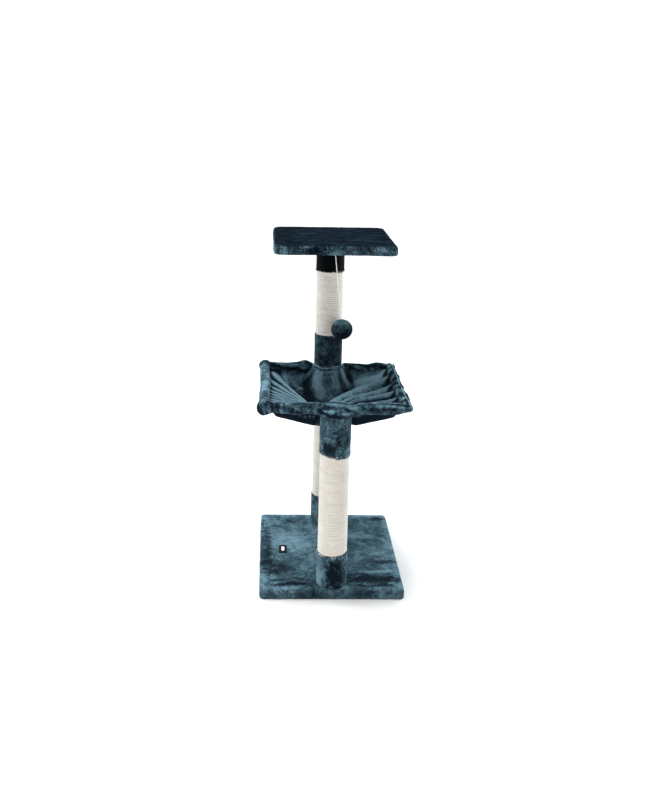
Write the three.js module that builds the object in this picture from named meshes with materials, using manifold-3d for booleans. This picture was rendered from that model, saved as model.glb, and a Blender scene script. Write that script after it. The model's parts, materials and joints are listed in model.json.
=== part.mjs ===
// A small cat tree: a plush-covered base, two sisal posts that carry a padded
// hammock, a taller rear post with a square lookout, and a ball on a cord.
// Millimetres, +Z up, +Y towards the back. The origin is the centre of the
// base's underside.
import * as THREE from 'three';
import { mergeVertices } from 'three/addons/utils/BufferGeometryUtils.js';
import Module from 'manifold-3d';

const wasm = await Module();
wasm.setup();

// Base
const BASE_WIDTH = 350;
const BASE_DEPTH = 400;
const BASE_CORNER = 12;

// Top platform
const TOP_WIDTH = 300;
const TOP_DEPTH = 300;
const TOP_CENTRE_Y = 127;
const TOP_UNDERSIDE_Z = 807;
const TOP_CORNER = 22;

// Make-up of both platforms, from the underside up
const SLAB_HEIGHT = 25;
const FELT_THICKNESS = 1.2;
const PLUSH_THICKNESS = 3.2;
const EDGE_ROUNDING = 6;
const FELT_MARGIN = 9;
const GAP = 0.3;
const BOLT_HOLE_RADIUS = 4.4;
const CLOTH_HOLE_RADIUS = 5;
const COUNTERBORE_RADIUS = 13;
const COUNTERBORE_DEPTH = 7.5;

// Posts
const POST_Y = 162;
const TUBE_RADIUS = 31;
const TUBE_BORE_RADIUS = 27.5;
const SISAL_RADIUS = 35.5;
const SLEEVE_RADIUS = 37;
const SLEEVE_ROUNDING = 1.6;
const PLUG_HEIGHT = 15;
const INSERT_RADIUS = 6;
const INSERT_HEIGHT = 14;
const LOWER_POST_SLEEVE_TOP = 109;
const LOWER_POST_SISAL_TOP = 362;
const LOWER_POST_TOP = 458;
const UPPER_POST_SLEEVE_TOP = 565;
const UPPER_POST_SISAL_TOP = 734;

// Fasteners
const BOLT_RADIUS = 4;
const BOLT_HEAD_RADIUS = 6.5;
const BOLT_HEAD_HEIGHT = 5;
const SOCKET_RADIUS = 2.9;
const SOCKET_DEPTH = 3;
const WASHER_RADIUS = 9;
const WASHER_THICKNESS = 1.2;
const BASE_BOLT_LENGTH = 36;
const TOP_BOLT_LENGTH = 40;
const HAMMOCK_BOLT_LENGTH = 32;
const STUD_LENGTH = 56;

// Hammock
const BAR_X = 168.7;
const ROLL_RADIUS = 13.5;
const ROLL_Z = 470.5;
const ROD_RADIUS = 3.5;
const ROD_CLEARANCE = 0.6;
const ROD_CORNER = 16;
const TAB_HALF_LENGTH = 50;
const WELD_START = 39;
const TAB_HALF_WIDTH = 10;
const TAB_THICKNESS = 3.5;
const SLING_SAG = 93;
const SLING_THICKNESS = 5;
const SLING_EDGE_Z = 467;
const SLING_CLEARANCE = 1.2;
const SLING_CELLS = 14;
const SLING_FULLNESS = 0.8;

// Woven label, sewn flat to the base
const LABEL_WIDTH = 20;
const LABEL_LENGTH = 41;
const LABEL_X = -116;
const LABEL_Y = -2.5;
const LABEL_THICKNESS = 0.8;

// Ball on its cord
const STAPLE_X = 8;
const STAPLE_Y = 112;
const STAPLE_HALF_WIDTH = 5;
const STAPLE_WIRE_RADIUS = 0.8;
const STAPLE_DROP = 5.4;
const STAPLE_BITE = 8;
const LOOP_RADIUS = 3.6;
const CORD_RADIUS = 1;
const CORD_STEP = 5;
const BALL_CENTRE = new THREE.Vector3(29.4, 96, 592);
const BALL_RADIUS = 27.5;
const BALL_CORE_RADIUS = 24;

// Heights that follow from the dimensions above
const POST_BOTTOM = SLAB_HEIGHT + GAP;
const TAB_BOTTOM = LOWER_POST_TOP + GAP;
const TAB_TOP = TAB_BOTTOM + TAB_THICKNESS;
const ROD_Z = TAB_TOP + ROD_RADIUS - GAP;
const UPPER_POST_BOTTOM = TAB_TOP + GAP;
const UPPER_POST_TOP = TOP_UNDERSIDE_Z - GAP;
const STAPLE_CROWN_Z = TOP_UNDERSIDE_Z - STAPLE_DROP;
const LOOP_Z = STAPLE_CROWN_Z - LOOP_RADIUS + CORD_RADIUS + STAPLE_WIRE_RADIUS + 0.4;
const CORD_TOP = new THREE.Vector3(STAPLE_X, STAPLE_Y, LOOP_Z - LOOP_RADIUS - CORD_RADIUS - GAP);

const ROUND_SIDES = 28;
const SMALL_SIDES = 16;
const BORE_SIDES = 16;
const ROLL_SIDES = 16;
const ROD_SIDES = 8;
const ROD_STEPS = 40;

const PLUSH = { color: 0x46606e, roughness: 0.95, metalness: 0 };
const DARK_PLUSH = { color: 0x18222e, roughness: 0.95, metalness: 0 };
const SISAL = { color: 0xe1dcd0, roughness: 0.9, metalness: 0 };
const BOARD = { color: 0xb39772, roughness: 0.8, metalness: 0 };
const FELT = { color: 0x23272c, roughness: 1, metalness: 0 };
const CARDBOARD = { color: 0xa98a63, roughness: 0.9, metalness: 0 };
const PLASTIC = { color: 0x2b2b2d, roughness: 0.5, metalness: 0 };
const STEEL = { color: 0xb9bcc0, roughness: 0.35, metalness: 1 };
const BLACK_STEEL = { color: 0x1c1d1f, roughness: 0.45, metalness: 0.6 };
const WHITE_CORD = { color: 0xf1efe9, roughness: 0.8, metalness: 0 };
const LABEL_CLOTH = { color: 0x0c0d10, roughness: 0.8, metalness: 0 };
const FOAM = { color: 0xe8e2c8, roughness: 0.9, metalness: 0 };

const catTree = new THREE.Group();

function addPiece(name, geometry, finish) {
  const mesh = new THREE.Mesh(geometry, new THREE.MeshStandardMaterial(finish));
  mesh.name = name;
  catTree.add(mesh);
  return mesh;
}

// A geometry as a manifold-3d solid, and back.
function toSolid(geometry) {
  const bare = geometry.clone();
  bare.deleteAttribute('normal');
  bare.deleteAttribute('uv');
  const merged = mergeVertices(bare, 1e-4);
  return new wasm.Manifold(new wasm.Mesh({
    numProp: 3,
    vertProperties: new Float32Array(merged.attributes.position.array),
    triVerts: new Uint32Array(merged.index.array),
  }));
}

function toGeometry(solid) {
  const mesh = solid.getMesh();
  const geometry = new THREE.BufferGeometry();
  geometry.setAttribute('position', new THREE.BufferAttribute(mesh.vertProperties, 3));
  geometry.setIndex(new THREE.BufferAttribute(mesh.triVerts, 1));
  geometry.computeVertexNormals();
  return geometry;
}

function cut(geometry, ...tools) {
  return toGeometry(tools.reduce((solid, tool) => solid.subtract(toSolid(tool)), toSolid(geometry)));
}

function join(geometry, ...others) {
  return toGeometry(others.reduce((solid, other) => solid.add(toSolid(other)), toSolid(geometry)));
}

// An upright solid of revolution from [radius, height] pairs, listed anticlockwise.
// LatheGeometry turns about Y, so it is tipped up to stand along +Z.
function turned(profile, sides) {
  const points = profile.map(([radius, height]) => new THREE.Vector2(radius, height));
  return new THREE.LatheGeometry(points, sides).rotateX(Math.PI / 2);
}

function ring(inner, outer, bottom, top, sides = ROUND_SIDES, rounding = 0) {
  const profile = rounding > 0
    ? [[inner, bottom], [outer - rounding, bottom], [outer, bottom + rounding],
      [outer, top - rounding], [outer - rounding, top], [inner, top], [inner, bottom]]
    : [[inner, bottom], [outer, bottom], [outer, top], [inner, top], [inner, bottom]];
  return turned(profile, sides);
}

function cylinder(radius, bottom, top, x = 0, y = 0, sides = BORE_SIDES) {
  const geometry = new THREE.CylinderGeometry(radius, radius, top - bottom, sides);
  return geometry.rotateX(Math.PI / 2).translate(x, y, (bottom + top) / 2);
}

function block(lowX, highX, lowY, highY, lowZ, highZ) {
  const geometry = new THREE.BoxGeometry(highX - lowX, highY - lowY, highZ - lowZ);
  return geometry.translate((lowX + highX) / 2, (lowY + highY) / 2, (lowZ + highZ) / 2);
}

function roundedOutline(width, depth, corner) {
  const right = width / 2 - corner;
  const back = depth / 2 - corner;
  const outline = new THREE.Shape();
  outline.absarc(right, back, corner, 0, Math.PI / 2);
  outline.absarc(-right, back, corner, Math.PI / 2, Math.PI);
  outline.absarc(-right, -back, corner, Math.PI, Math.PI * 1.5);
  outline.absarc(right, -back, corner, Math.PI * 1.5, Math.PI * 2);
  outline.closePath();
  return outline;
}

// A flat slab with round corners and, where asked, rounded top and bottom edges.
function slab(width, depth, corner, bottom, top, rounding = 0) {
  const geometry = new THREE.ExtrudeGeometry(roundedOutline(width, depth, corner), {
    depth: top - bottom - 2 * rounding,
    bevelEnabled: rounding > 0,
    bevelThickness: rounding,
    bevelSize: rounding,
    bevelOffset: -rounding,
    bevelSegments: 2,
    curveSegments: 3,
  });
  return geometry.translate(0, 0, bottom + rounding);
}

// A round rod along a path. A full circle is sampled at twice curveSegments.
function rod(path, radius, sides, steps) {
  const section = new THREE.Shape();
  section.absarc(0, 0, radius, 0, Math.PI * 2);
  return new THREE.ExtrudeGeometry(section, {
    steps,
    curveSegments: sides / 2,
    bevelEnabled: false,
    extrudePath: path,
  });
}

// Bolt: head at the bottom with a hexagon socket, shank upwards.
function boltGeometry(length) {
  const body = turned([
    [0, 0],
    [BOLT_HEAD_RADIUS, 0],
    [BOLT_HEAD_RADIUS, BOLT_HEAD_HEIGHT],
    [BOLT_RADIUS, BOLT_HEAD_HEIGHT],
    [BOLT_RADIUS, BOLT_HEAD_HEIGHT + length],
    [0, BOLT_HEAD_HEIGHT + length],
  ], SMALL_SIDES);
  return cut(body, cylinder(SOCKET_RADIUS, -1, SOCKET_DEPTH, 0, 0, 6));
}

function addBolt(name, length, x, y, headOuterZ, pointsUp) {
  const bolt = addPiece(name, boltGeometry(length), STEEL);
  bolt.position.set(x, y, headOuterZ);
  bolt.rotation.x = pointsUp ? 0 : Math.PI;
}

function addWasher(name, x, y, bottom) {
  const washer = addPiece(
    name, ring(BOLT_HOLE_RADIUS, WASHER_RADIUS, 0, WASHER_THICKNESS, SMALL_SIDES), STEEL);
  washer.position.set(x, y, bottom);
}

// The wrapped cover of a platform: a cap over the board, open underneath.
function plushCap(width, depth, corner, bolts) {
  const shell = slab(width, depth, corner, 0, SLAB_HEIGHT, EDGE_ROUNDING);
  const roof = SLAB_HEIGHT - PLUSH_THICKNESS;
  const hollow = slab(
    width - 2 * PLUSH_THICKNESS, depth - 2 * PLUSH_THICKNESS, corner - PLUSH_THICKNESS, -1, roof);
  const holes = bolts.map(([x, y]) => cylinder(CLOTH_HOLE_RADIUS, roof - 1, SLAB_HEIGHT + 1, x, y));
  return cut(shell, hollow, ...holes);
}

function boardSlab(width, depth, corner) {
  const inset = 2 * (PLUSH_THICKNESS + GAP);
  return slab(width - inset, depth - inset, corner - PLUSH_THICKNESS,
    FELT_THICKNESS + GAP, SLAB_HEIGHT - PLUSH_THICKNESS - GAP);
}

function addBase() {
  const posts = [[0, -POST_Y], [0, POST_Y]];
  const mouth = FELT_THICKNESS + GAP;
  const shoulder = mouth + COUNTERBORE_DEPTH;
  const drills = posts.flatMap(([x, y]) => [
    cylinder(BOLT_HOLE_RADIUS, 0, SLAB_HEIGHT, x, y),
    cylinder(COUNTERBORE_RADIUS, 0, shoulder, x, y),
  ]);
  addPiece('base_board', cut(boardSlab(BASE_WIDTH, BASE_DEPTH, BASE_CORNER), ...drills), BOARD);
  addPiece('base_plush_cover', plushCap(BASE_WIDTH, BASE_DEPTH, BASE_CORNER, posts), PLUSH);

  const felt = slab(BASE_WIDTH - 2 * FELT_MARGIN, BASE_DEPTH - 2 * FELT_MARGIN,
    BASE_CORNER, 0, FELT_THICKNESS);
  const openings = posts.map(([x, y]) => cylinder(COUNTERBORE_RADIUS, -1, 2, x, y));
  addPiece('base_underside_felt', cut(felt, ...openings), FELT);

  for (const [place, y] of [['front', -POST_Y], ['rear', POST_Y]]) {
    const washerBottom = shoulder - GAP - WASHER_THICKNESS;
    addWasher(`base_${place}_washer`, 0, y, washerBottom);
    addBolt(`base_${place}_bolt`, BASE_BOLT_LENGTH, 0, y,
      washerBottom - GAP - BOLT_HEAD_HEIGHT, true);
  }

  const label = addPiece('woven_label', slab(LABEL_WIDTH, LABEL_LENGTH, 1.5, 0, LABEL_THICKNESS),
    LABEL_CLOTH);
  label.position.set(LABEL_X, LABEL_Y, SLAB_HEIGHT + GAP);
}

// A post: a cardboard tube with a plug and threaded insert at each end, a
// sisal wrap round its middle and a plush sleeve above and below the sisal.
function addPost(name, y, bottom, sleeveTop, sisalTop, top) {
  const insertInset = (PLUG_HEIGHT - INSERT_HEIGHT) / 2;
  const pieces = [
    ['tube', ring(TUBE_BORE_RADIUS, TUBE_RADIUS, bottom, top), CARDBOARD],
    ['lower_sleeve', ring(TUBE_RADIUS + GAP, SLEEVE_RADIUS, bottom, sleeveTop,
      ROUND_SIDES, SLEEVE_ROUNDING), PLUSH],
    ['sisal_wrap', ring(TUBE_RADIUS + GAP, SISAL_RADIUS, sleeveTop + GAP, sisalTop - GAP), SISAL],
    ['upper_sleeve', ring(TUBE_RADIUS + GAP, SLEEVE_RADIUS, sisalTop, top,
      ROUND_SIDES, SLEEVE_ROUNDING), PLUSH],
  ];
  for (const [end, plugBottom] of [['bottom', bottom], ['top', top - PLUG_HEIGHT]]) {
    pieces.push([`${end}_plug`, ring(INSERT_RADIUS + GAP, TUBE_BORE_RADIUS - GAP,
      plugBottom, plugBottom + PLUG_HEIGHT), PLASTIC]);
    pieces.push([`${end}_insert`, ring(BOLT_HOLE_RADIUS, INSERT_RADIUS,
      plugBottom + insertInset, plugBottom + insertInset + INSERT_HEIGHT, SMALL_SIDES), STEEL]);
  }
  for (const [part, geometry, finish] of pieces) {
    addPiece(`${name}_${part}`, geometry, finish).position.y = y;
  }
}

// Half of the hammock's rod: from one tab, round two corners, to the other.
function halfRodPath(side) {
  const point = (x, y) => new THREE.Vector3(side * x, y, ROD_Z);
  const start = point(WELD_START, POST_Y);
  const rearCorner = point(BAR_X, POST_Y);
  const frontCorner = point(BAR_X, -POST_Y);
  const path = new THREE.CurvePath();
  const intoRear = point(BAR_X - ROD_CORNER, POST_Y);
  const outOfRear = point(BAR_X, POST_Y - ROD_CORNER);
  const intoFront = point(BAR_X, ROD_CORNER - POST_Y);
  const outOfFront = point(BAR_X - ROD_CORNER, -POST_Y);
  path.add(new THREE.LineCurve3(start, intoRear));
  path.add(new THREE.QuadraticBezierCurve3(intoRear, rearCorner, outOfRear));
  path.add(new THREE.LineCurve3(outOfRear, intoFront));
  path.add(new THREE.QuadraticBezierCurve3(intoFront, frontCorner, outOfFront));
  path.add(new THREE.LineCurve3(outOfFront, point(WELD_START, -POST_Y)));
  return path;
}

function tab(y, growth = 0) {
  return block(-TAB_HALF_LENGTH - growth, TAB_HALF_LENGTH + growth,
    y - TAB_HALF_WIDTH - growth, y + TAB_HALF_WIDTH + growth,
    TAB_BOTTOM - growth, TAB_TOP + growth);
}

// A padded roll from one x to another along a cross bar; round ends where asked.
function crossRoll(lowX, highX, y, roundLow, roundHigh) {
  const quarter = [30, 60].map((degrees) => THREE.MathUtils.degToRad(degrees));
  const dome = (sign, centre) => quarter.map((angle) => [
    ROLL_RADIUS * Math.cos(angle), centre + sign * ROLL_RADIUS * Math.sin(angle)]);
  const profile = [[0, roundLow ? lowX - ROLL_RADIUS : lowX]];
  profile.push(...(roundLow ? dome(-1, lowX).reverse() : []), [ROLL_RADIUS, lowX]);
  profile.push([ROLL_RADIUS, highX], ...(roundHigh ? dome(1, highX) : []));
  profile.push([0, roundHigh ? highX + ROLL_RADIUS : highX]);
  return turned(profile, ROLL_SIDES).rotateY(Math.PI / 2).translate(0, y, ROLL_Z);
}

function addHammockRolls() {
  const channels = [-1, 1].map(
    (side) => rod(halfRodPath(side), ROD_RADIUS + ROD_CLEARANCE, ROD_SIDES, ROD_STEPS));
  const postSpace = SLEEVE_RADIUS + 1.5;
  const pocketTop = TAB_TOP + 3 * GAP + WASHER_THICKNESS + BOLT_HEAD_HEIGHT;
  const tabSpace = (y) => block(-TAB_HALF_LENGTH - 1, TAB_HALF_LENGTH + 1,
    y - SLEEVE_RADIUS, y + SLEEVE_RADIUS, LOWER_POST_TOP - ROLL_RADIUS, TAB_TOP + GAP);

  addPiece('hammock_front_roll', cut(
    crossRoll(-BAR_X, BAR_X, -POST_Y, true, true),
    ...channels,
    tabSpace(-POST_Y),
    cylinder(WASHER_RADIUS + 0.8, LOWER_POST_TOP, pocketTop + GAP, 0, -POST_Y),
  ), PLUSH);
  addPiece('hammock_rear_left_roll', cut(
    crossRoll(-BAR_X, -postSpace, POST_Y, true, false), ...channels, tabSpace(POST_Y)), PLUSH);
  addPiece('hammock_rear_right_roll', cut(
    crossRoll(postSpace, BAR_X, POST_Y, false, true), ...channels, tabSpace(POST_Y)), PLUSH);

  const half = POST_Y - ROLL_RADIUS - GAP;
  for (const [place, x] of [['left', -BAR_X], ['right', BAR_X]]) {
    const roll = turned([[0, -half], [ROLL_RADIUS, -half], [ROLL_RADIUS, half], [0, half]], ROLL_SIDES)
      .rotateX(Math.PI / 2).translate(x, 0, ROLL_Z);
    addPiece(`hammock_${place}_roll`, cut(roll, ...channels), PLUSH);
  }
}

// The sling: a sagging sheet of even thickness, cut clear of both posts.
function slingGeometry() {
  const halfX = BAR_X - ROLL_RADIUS - SLING_CLEARANCE;
  const halfY = POST_Y - ROLL_RADIUS - SLING_CLEARANCE;
  const fullness = (t) => Math.max(Math.cos(t * Math.PI / 2), 0) ** SLING_FULLNESS;
  const sheet = new THREE.BoxGeometry(
    2 * halfX, 2 * halfY, SLING_THICKNESS, SLING_CELLS, SLING_CELLS, 1);
  const position = sheet.attributes.position;
  for (let i = 0; i < position.count; i += 1) {
    const sag = SLING_SAG * fullness(position.getX(i) / halfX) * fullness(position.getY(i) / halfY);
    position.setZ(i, position.getZ(i) + SLING_EDGE_Z - sag);
  }
  const postSpaces = [-POST_Y, POST_Y].map((y) => cylinder(
    SLEEVE_RADIUS + 1.5, SLING_EDGE_Z - SLING_SAG, SLING_EDGE_Z + SLING_THICKNESS, 0, y, ROUND_SIDES));
  return cut(sheet, ...postSpaces);
}

function addHammock() {
  const rods = [-1, 1].map((side) => rod(halfRodPath(side), ROD_RADIUS, ROD_SIDES, ROD_STEPS));
  const holes = [-POST_Y, POST_Y].map(
    (y) => cylinder(BOLT_HOLE_RADIUS, TAB_BOTTOM - 1, TAB_TOP + 1, 0, y));
  addPiece('hammock_wire_frame', cut(
    join(tab(-POST_Y), tab(POST_Y), ...rods), ...holes), BLACK_STEEL);
  addHammockRolls();
  addPiece('hammock_sling', slingGeometry(), PLUSH);

  const washerBottom = TAB_TOP + GAP;
  addWasher('hammock_front_washer', 0, -POST_Y, washerBottom);
  addBolt('hammock_front_bolt', HAMMOCK_BOLT_LENGTH, 0, -POST_Y,
    washerBottom + WASHER_THICKNESS + GAP + BOLT_HEAD_HEIGHT, false);

  const middle = (TAB_BOTTOM + TAB_TOP) / 2;
  addPiece('rear_joining_stud', cylinder(BOLT_RADIUS, middle - STUD_LENGTH / 2,
    middle + STUD_LENGTH / 2, 0, POST_Y, SMALL_SIDES), STEEL);
}

function addTopPlatform() {
  const postFromCentre = POST_Y - TOP_CENTRE_Y;
  const counterboreFloor = SLAB_HEIGHT - PLUSH_THICKNESS - GAP - COUNTERBORE_DEPTH;
  const legHoles = [-1, 1].map((side) => cylinder(STAPLE_WIRE_RADIUS + GAP, -1, STAPLE_BITE + 1,
    STAPLE_X + side * STAPLE_HALF_WIDTH, STAPLE_Y - TOP_CENTRE_Y, 8));
  const board = cut(boardSlab(TOP_WIDTH, TOP_DEPTH, TOP_CORNER),
    cylinder(BOLT_HOLE_RADIUS, 0, SLAB_HEIGHT, 0, postFromCentre),
    cylinder(COUNTERBORE_RADIUS, counterboreFloor, SLAB_HEIGHT, 0, postFromCentre),
    ...legHoles);
  const felt = cut(slab(TOP_WIDTH - 2 * FELT_MARGIN, TOP_DEPTH - 2 * FELT_MARGIN,
    TOP_CORNER, 0, FELT_THICKNESS),
  cylinder(CLOTH_HOLE_RADIUS, -1, 2, 0, postFromCentre),
  ...legHoles);
  const pieces = [
    ['top_board', board, BOARD],
    ['top_plush_cover', plushCap(TOP_WIDTH, TOP_DEPTH, TOP_CORNER, []), DARK_PLUSH],
    ['top_underside_felt', felt, FELT],
  ];
  for (const [name, geometry, finish] of pieces) {
    addPiece(name, geometry, finish).position.set(0, TOP_CENTRE_Y, TOP_UNDERSIDE_Z);
  }

  const washerBottom = TOP_UNDERSIDE_Z + counterboreFloor + GAP;
  addWasher('top_washer', 0, POST_Y, washerBottom);
  addBolt('top_bolt', TOP_BOLT_LENGTH, 0, POST_Y,
    washerBottom + WASHER_THICKNESS + GAP + BOLT_HEAD_HEIGHT, false);
}

// The staple under the platform, the cord looped through it, and the ball.
function addToy() {
  const left = STAPLE_X - STAPLE_HALF_WIDTH;
  const right = STAPLE_X + STAPLE_HALF_WIDTH;
  const legTop = TOP_UNDERSIDE_Z + STAPLE_BITE;
  const crown = cylinder(STAPLE_WIRE_RADIUS, -STAPLE_HALF_WIDTH - STAPLE_WIRE_RADIUS,
    STAPLE_HALF_WIDTH + STAPLE_WIRE_RADIUS, 0, 0, 10)
    .rotateY(Math.PI / 2).translate(STAPLE_X, STAPLE_Y, STAPLE_CROWN_Z);
  const legs = [left, right].map((x) => cylinder(
    STAPLE_WIRE_RADIUS, STAPLE_CROWN_Z, legTop, x, STAPLE_Y, 10));
  addPiece('toy_staple', join(crown, ...legs), STEEL);

  const loop = addPiece('toy_cord_loop',
    new THREE.TorusGeometry(LOOP_RADIUS, CORD_RADIUS, 6, 16).rotateY(Math.PI / 2), WHITE_CORD);
  loop.position.set(STAPLE_X, STAPLE_Y, LOOP_Z);

  const reach = CORD_TOP.distanceTo(BALL_CENTRE);
  const along = BALL_CENTRE.clone().sub(CORD_TOP).normalize();
  const cordLength = reach - BALL_CORE_RADIUS - GAP;
  const cordEnd = CORD_TOP.clone().addScaledVector(along, cordLength);
  addPiece('toy_cord', rod(new THREE.LineCurve3(CORD_TOP, cordEnd), CORD_RADIUS, 8,
    Math.round(cordLength / CORD_STEP)), WHITE_CORD);

  addPiece('toy_ball_core', new THREE.SphereGeometry(BALL_CORE_RADIUS, 16, 10), FOAM)
    .position.copy(BALL_CENTRE);
  const upwards = new THREE.Quaternion().setFromUnitVectors(
    new THREE.Vector3(0, 0, 1), along.clone().negate());
  const hole = cylinder(CORD_RADIUS + 0.6, BALL_CORE_RADIUS - 3, BALL_RADIUS + 3, 0, 0, 10)
    .applyQuaternion(upwards);
  const cover = cut(
    new THREE.SphereGeometry(BALL_RADIUS, 20, 12),
    new THREE.SphereGeometry(BALL_CORE_RADIUS + GAP, 16, 10),
    hole);
  addPiece('toy_ball_cover', cover, PLUSH).position.copy(BALL_CENTRE);
}

addBase();
addPost('front_post', -POST_Y, POST_BOTTOM, LOWER_POST_SLEEVE_TOP, LOWER_POST_SISAL_TOP,
  LOWER_POST_TOP);
addPost('rear_lower_post', POST_Y, POST_BOTTOM, LOWER_POST_SLEEVE_TOP, LOWER_POST_SISAL_TOP,
  LOWER_POST_TOP);
addPost('rear_upper_post', POST_Y, UPPER_POST_BOTTOM, UPPER_POST_SLEEVE_TOP,
  UPPER_POST_SISAL_TOP, UPPER_POST_TOP);
addHammock();
addTopPlatform();
addToy();

export default catTree;
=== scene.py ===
"""Looks for a small cat tree: plush covers, sisal windings, a padded hammock and a ball.

Every length is in metres. The tree stands on the floor at z = 0 with its front towards -Y.
"""

import json
import math

import bmesh
import bpy
import numpy as np
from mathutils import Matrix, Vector


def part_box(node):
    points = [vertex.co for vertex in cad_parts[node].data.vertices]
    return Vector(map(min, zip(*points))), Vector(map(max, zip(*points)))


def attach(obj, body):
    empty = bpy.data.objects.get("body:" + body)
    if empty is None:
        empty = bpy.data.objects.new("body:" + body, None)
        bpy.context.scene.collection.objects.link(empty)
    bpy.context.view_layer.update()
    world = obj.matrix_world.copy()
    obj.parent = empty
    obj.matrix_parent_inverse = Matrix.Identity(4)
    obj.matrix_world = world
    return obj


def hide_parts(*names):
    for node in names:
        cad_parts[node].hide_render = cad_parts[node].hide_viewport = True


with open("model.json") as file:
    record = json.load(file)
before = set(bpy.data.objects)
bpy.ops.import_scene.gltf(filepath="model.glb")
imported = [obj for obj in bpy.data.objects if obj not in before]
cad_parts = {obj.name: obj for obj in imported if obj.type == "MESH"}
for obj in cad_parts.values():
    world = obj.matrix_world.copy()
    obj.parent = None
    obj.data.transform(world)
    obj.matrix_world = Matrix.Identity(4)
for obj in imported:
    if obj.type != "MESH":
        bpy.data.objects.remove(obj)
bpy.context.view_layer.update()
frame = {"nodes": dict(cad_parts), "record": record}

bl_info = {
    "name": "Cat Tree",
    "version": (1, 0, 0),
    "blender": (4, 5, 0),
    "location": "View3D > Sidebar > Cat Tree",
    "description": "Dresses a cat tree in plush, sisal, a sling hammock and a ball toy",
    "category": "Object",
}

# Places that come from the frame
BASE_LOW, BASE_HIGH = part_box("base_plush_cover")
TOP_LOW, TOP_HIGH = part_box("top_plush_cover")
TUBE_RADIUS = (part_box("front_post_tube")[1].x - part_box("front_post_tube")[0].x) / 2
SLEEVE_LOW, SLEEVE_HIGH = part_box("front_post_upper_sleeve")
SLEEVE_RADIUS = (SLEEVE_HIGH.x - SLEEVE_LOW.x) / 2
SISAL_LOW, SISAL_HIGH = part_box("front_post_sisal_wrap")
SISAL_RADIUS = (SISAL_HIGH.x - SISAL_LOW.x) / 2
POST_Y = -(SLEEVE_LOW.y + SLEEVE_HIGH.y) / 2
POST_TOP = SLEEVE_HIGH.z
LEFT_ROLL_LOW, LEFT_ROLL_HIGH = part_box("hammock_left_roll")
BAR_X = -(LEFT_ROLL_LOW.x + LEFT_ROLL_HIGH.x) / 2
BAR_Z = (LEFT_ROLL_LOW.z + LEFT_ROLL_HIGH.z) / 2
LABEL_LOW, LABEL_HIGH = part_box("woven_label")
BALL_LOW, BALL_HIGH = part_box("toy_ball_cover")
BALL_CENTRE = (BALL_LOW + BALL_HIGH) / 2
LOOP_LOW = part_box("toy_cord_loop")[0]

# The cord hangs straight, from under its loop to the ball's foam core.
CORD_TOP = Vector((0.008, 0.112, LOOP_LOW.z - 0.0003))
CORD_SUNK = 0.0243
CORD_LENGTH = (BALL_CENTRE - CORD_TOP).length - CORD_SUNK
CORD_POINTS = 20

# Cloth round the boards: its turned-in hem, and the rounding of its lower edge
HEM = 0.0032
LOWER_EDGE = 0.0028
BASE_CORNER, BASE_EDGE = 0.011, 0.0075
LOOKOUT_CORNER, LOOKOUT_EDGE = 0.024, 0.0105
LOOKOUT_SAG = 0.0014

# Plush tufts on the ball
TUFT_COUNT = 5200
TUFT_HALF_WIDTH = 0.00055

# Loose sisal strands at a winding's edges, and how far each lies over the plush
STRANDS_BELOW = 26
STRANDS_ABOVE = (60, 60, 150)
STRAND_REACH = (0.0015, 0.0060)

# The plain oblong on the label
MARK_HALF_WIDTH, MARK_HALF_LENGTH = 0.0036, 0.0105

# The view and its light
CAMERA_PLACE = (-0.1589, -2.1943, 1.2074)
CAMERA_TURN = (77.75, -0.925, -1.195)
CAMERA_SHIFT = (0.0387, -0.1480)
LENS, SENSOR_WIDTH = 41.0, 36.0
LIGHT_AIM = (0.0, 0.05, 0.42)
SUN_DIRECTION = (0.15, -0.12, -1.0)
SUN_SPREAD, SUN_POWER = 46, 4.5
HORIZON_LIGHT, OVERHEAD_LIGHT = 1.08, 0.42
FLOOR_REACH, FLOOR_DROP = 60.0, 0.0003

# Where the plush is painted lighter or darker: centre, radii and how much. Some entries are painted light
# and shade, noted where they stand.
BASE_PATCHES = (
    ((-0.165, 0.00, 0.022), (0.022, 0.15, 0.05), -0.13),
    ((-0.125, -0.105, 0.025), (0.050, 0.030, 0.05), -0.08),
    ((-0.090, -0.165, 0.025), (0.075, 0.018, 0.05), -0.07),
    ((0.105, -0.150, 0.025), (0.085, 0.028, 0.05), -0.20),
    ((0.150, -0.065, 0.025), (0.040, 0.010, 0.05), -0.14),
    ((0.150, 0.170, 0.025), (0.030, 0.012, 0.05), -0.10),
    ((-0.070, 0.020, 0.025), (0.070, 0.120, 0.05), 0.05),
    ((0.085, 0.040, 0.025), (0.060, 0.100, 0.05), 0.03),
    ((0.000, -0.202, 0.010), (0.200, 0.014, 0.03), -0.07),
)
ROLL_PATCHES = (
    # Painted highlight: the left roll lighter
    ((-0.172, 0.01, 0.472), (0.025, 0.130, 0.04), 0.10),
    ((-0.180, -0.168, 0.465), (0.026, 0.028, 0.028), -0.17),
    # Painted shade: the right roll darker
    ((0.160, 0.02, 0.466), (0.014, 0.130, 0.03), -0.10),
    ((0.000, -0.185, 0.462), (0.070, 0.03, 0.016), -0.06),
    ((-0.010, -0.212, 0.462), (0.026, 0.03, 0.015), -0.11),
)
SLEEVE_PATCHES = (
    ((0.012, -0.200, 0.060), (0.030, 0.030, 0.050), -0.17),
    ((-0.032, -0.190, 0.060), (0.018, 0.034, 0.045), 0.11),
    ((0.000, 0.110, 0.060), (0.060, 0.060, 0.050), 0.07),
    ((-0.018, -0.200, 0.382), (0.022, 0.030, 0.020), -0.15),
    ((0.020, -0.200, 0.405), (0.026, 0.030, 0.035), -0.09),
)
# Painted shade on the ball's lower half and a painted highlight on its top
BALL_LIGHT_AND_SHADE = (
    ((0.034, 0.085, 0.580), (0.034, 0.034, 0.024), -0.20),
    ((0.026, 0.098, 0.618), (0.034, 0.034, 0.018), 0.20),
)
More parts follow.
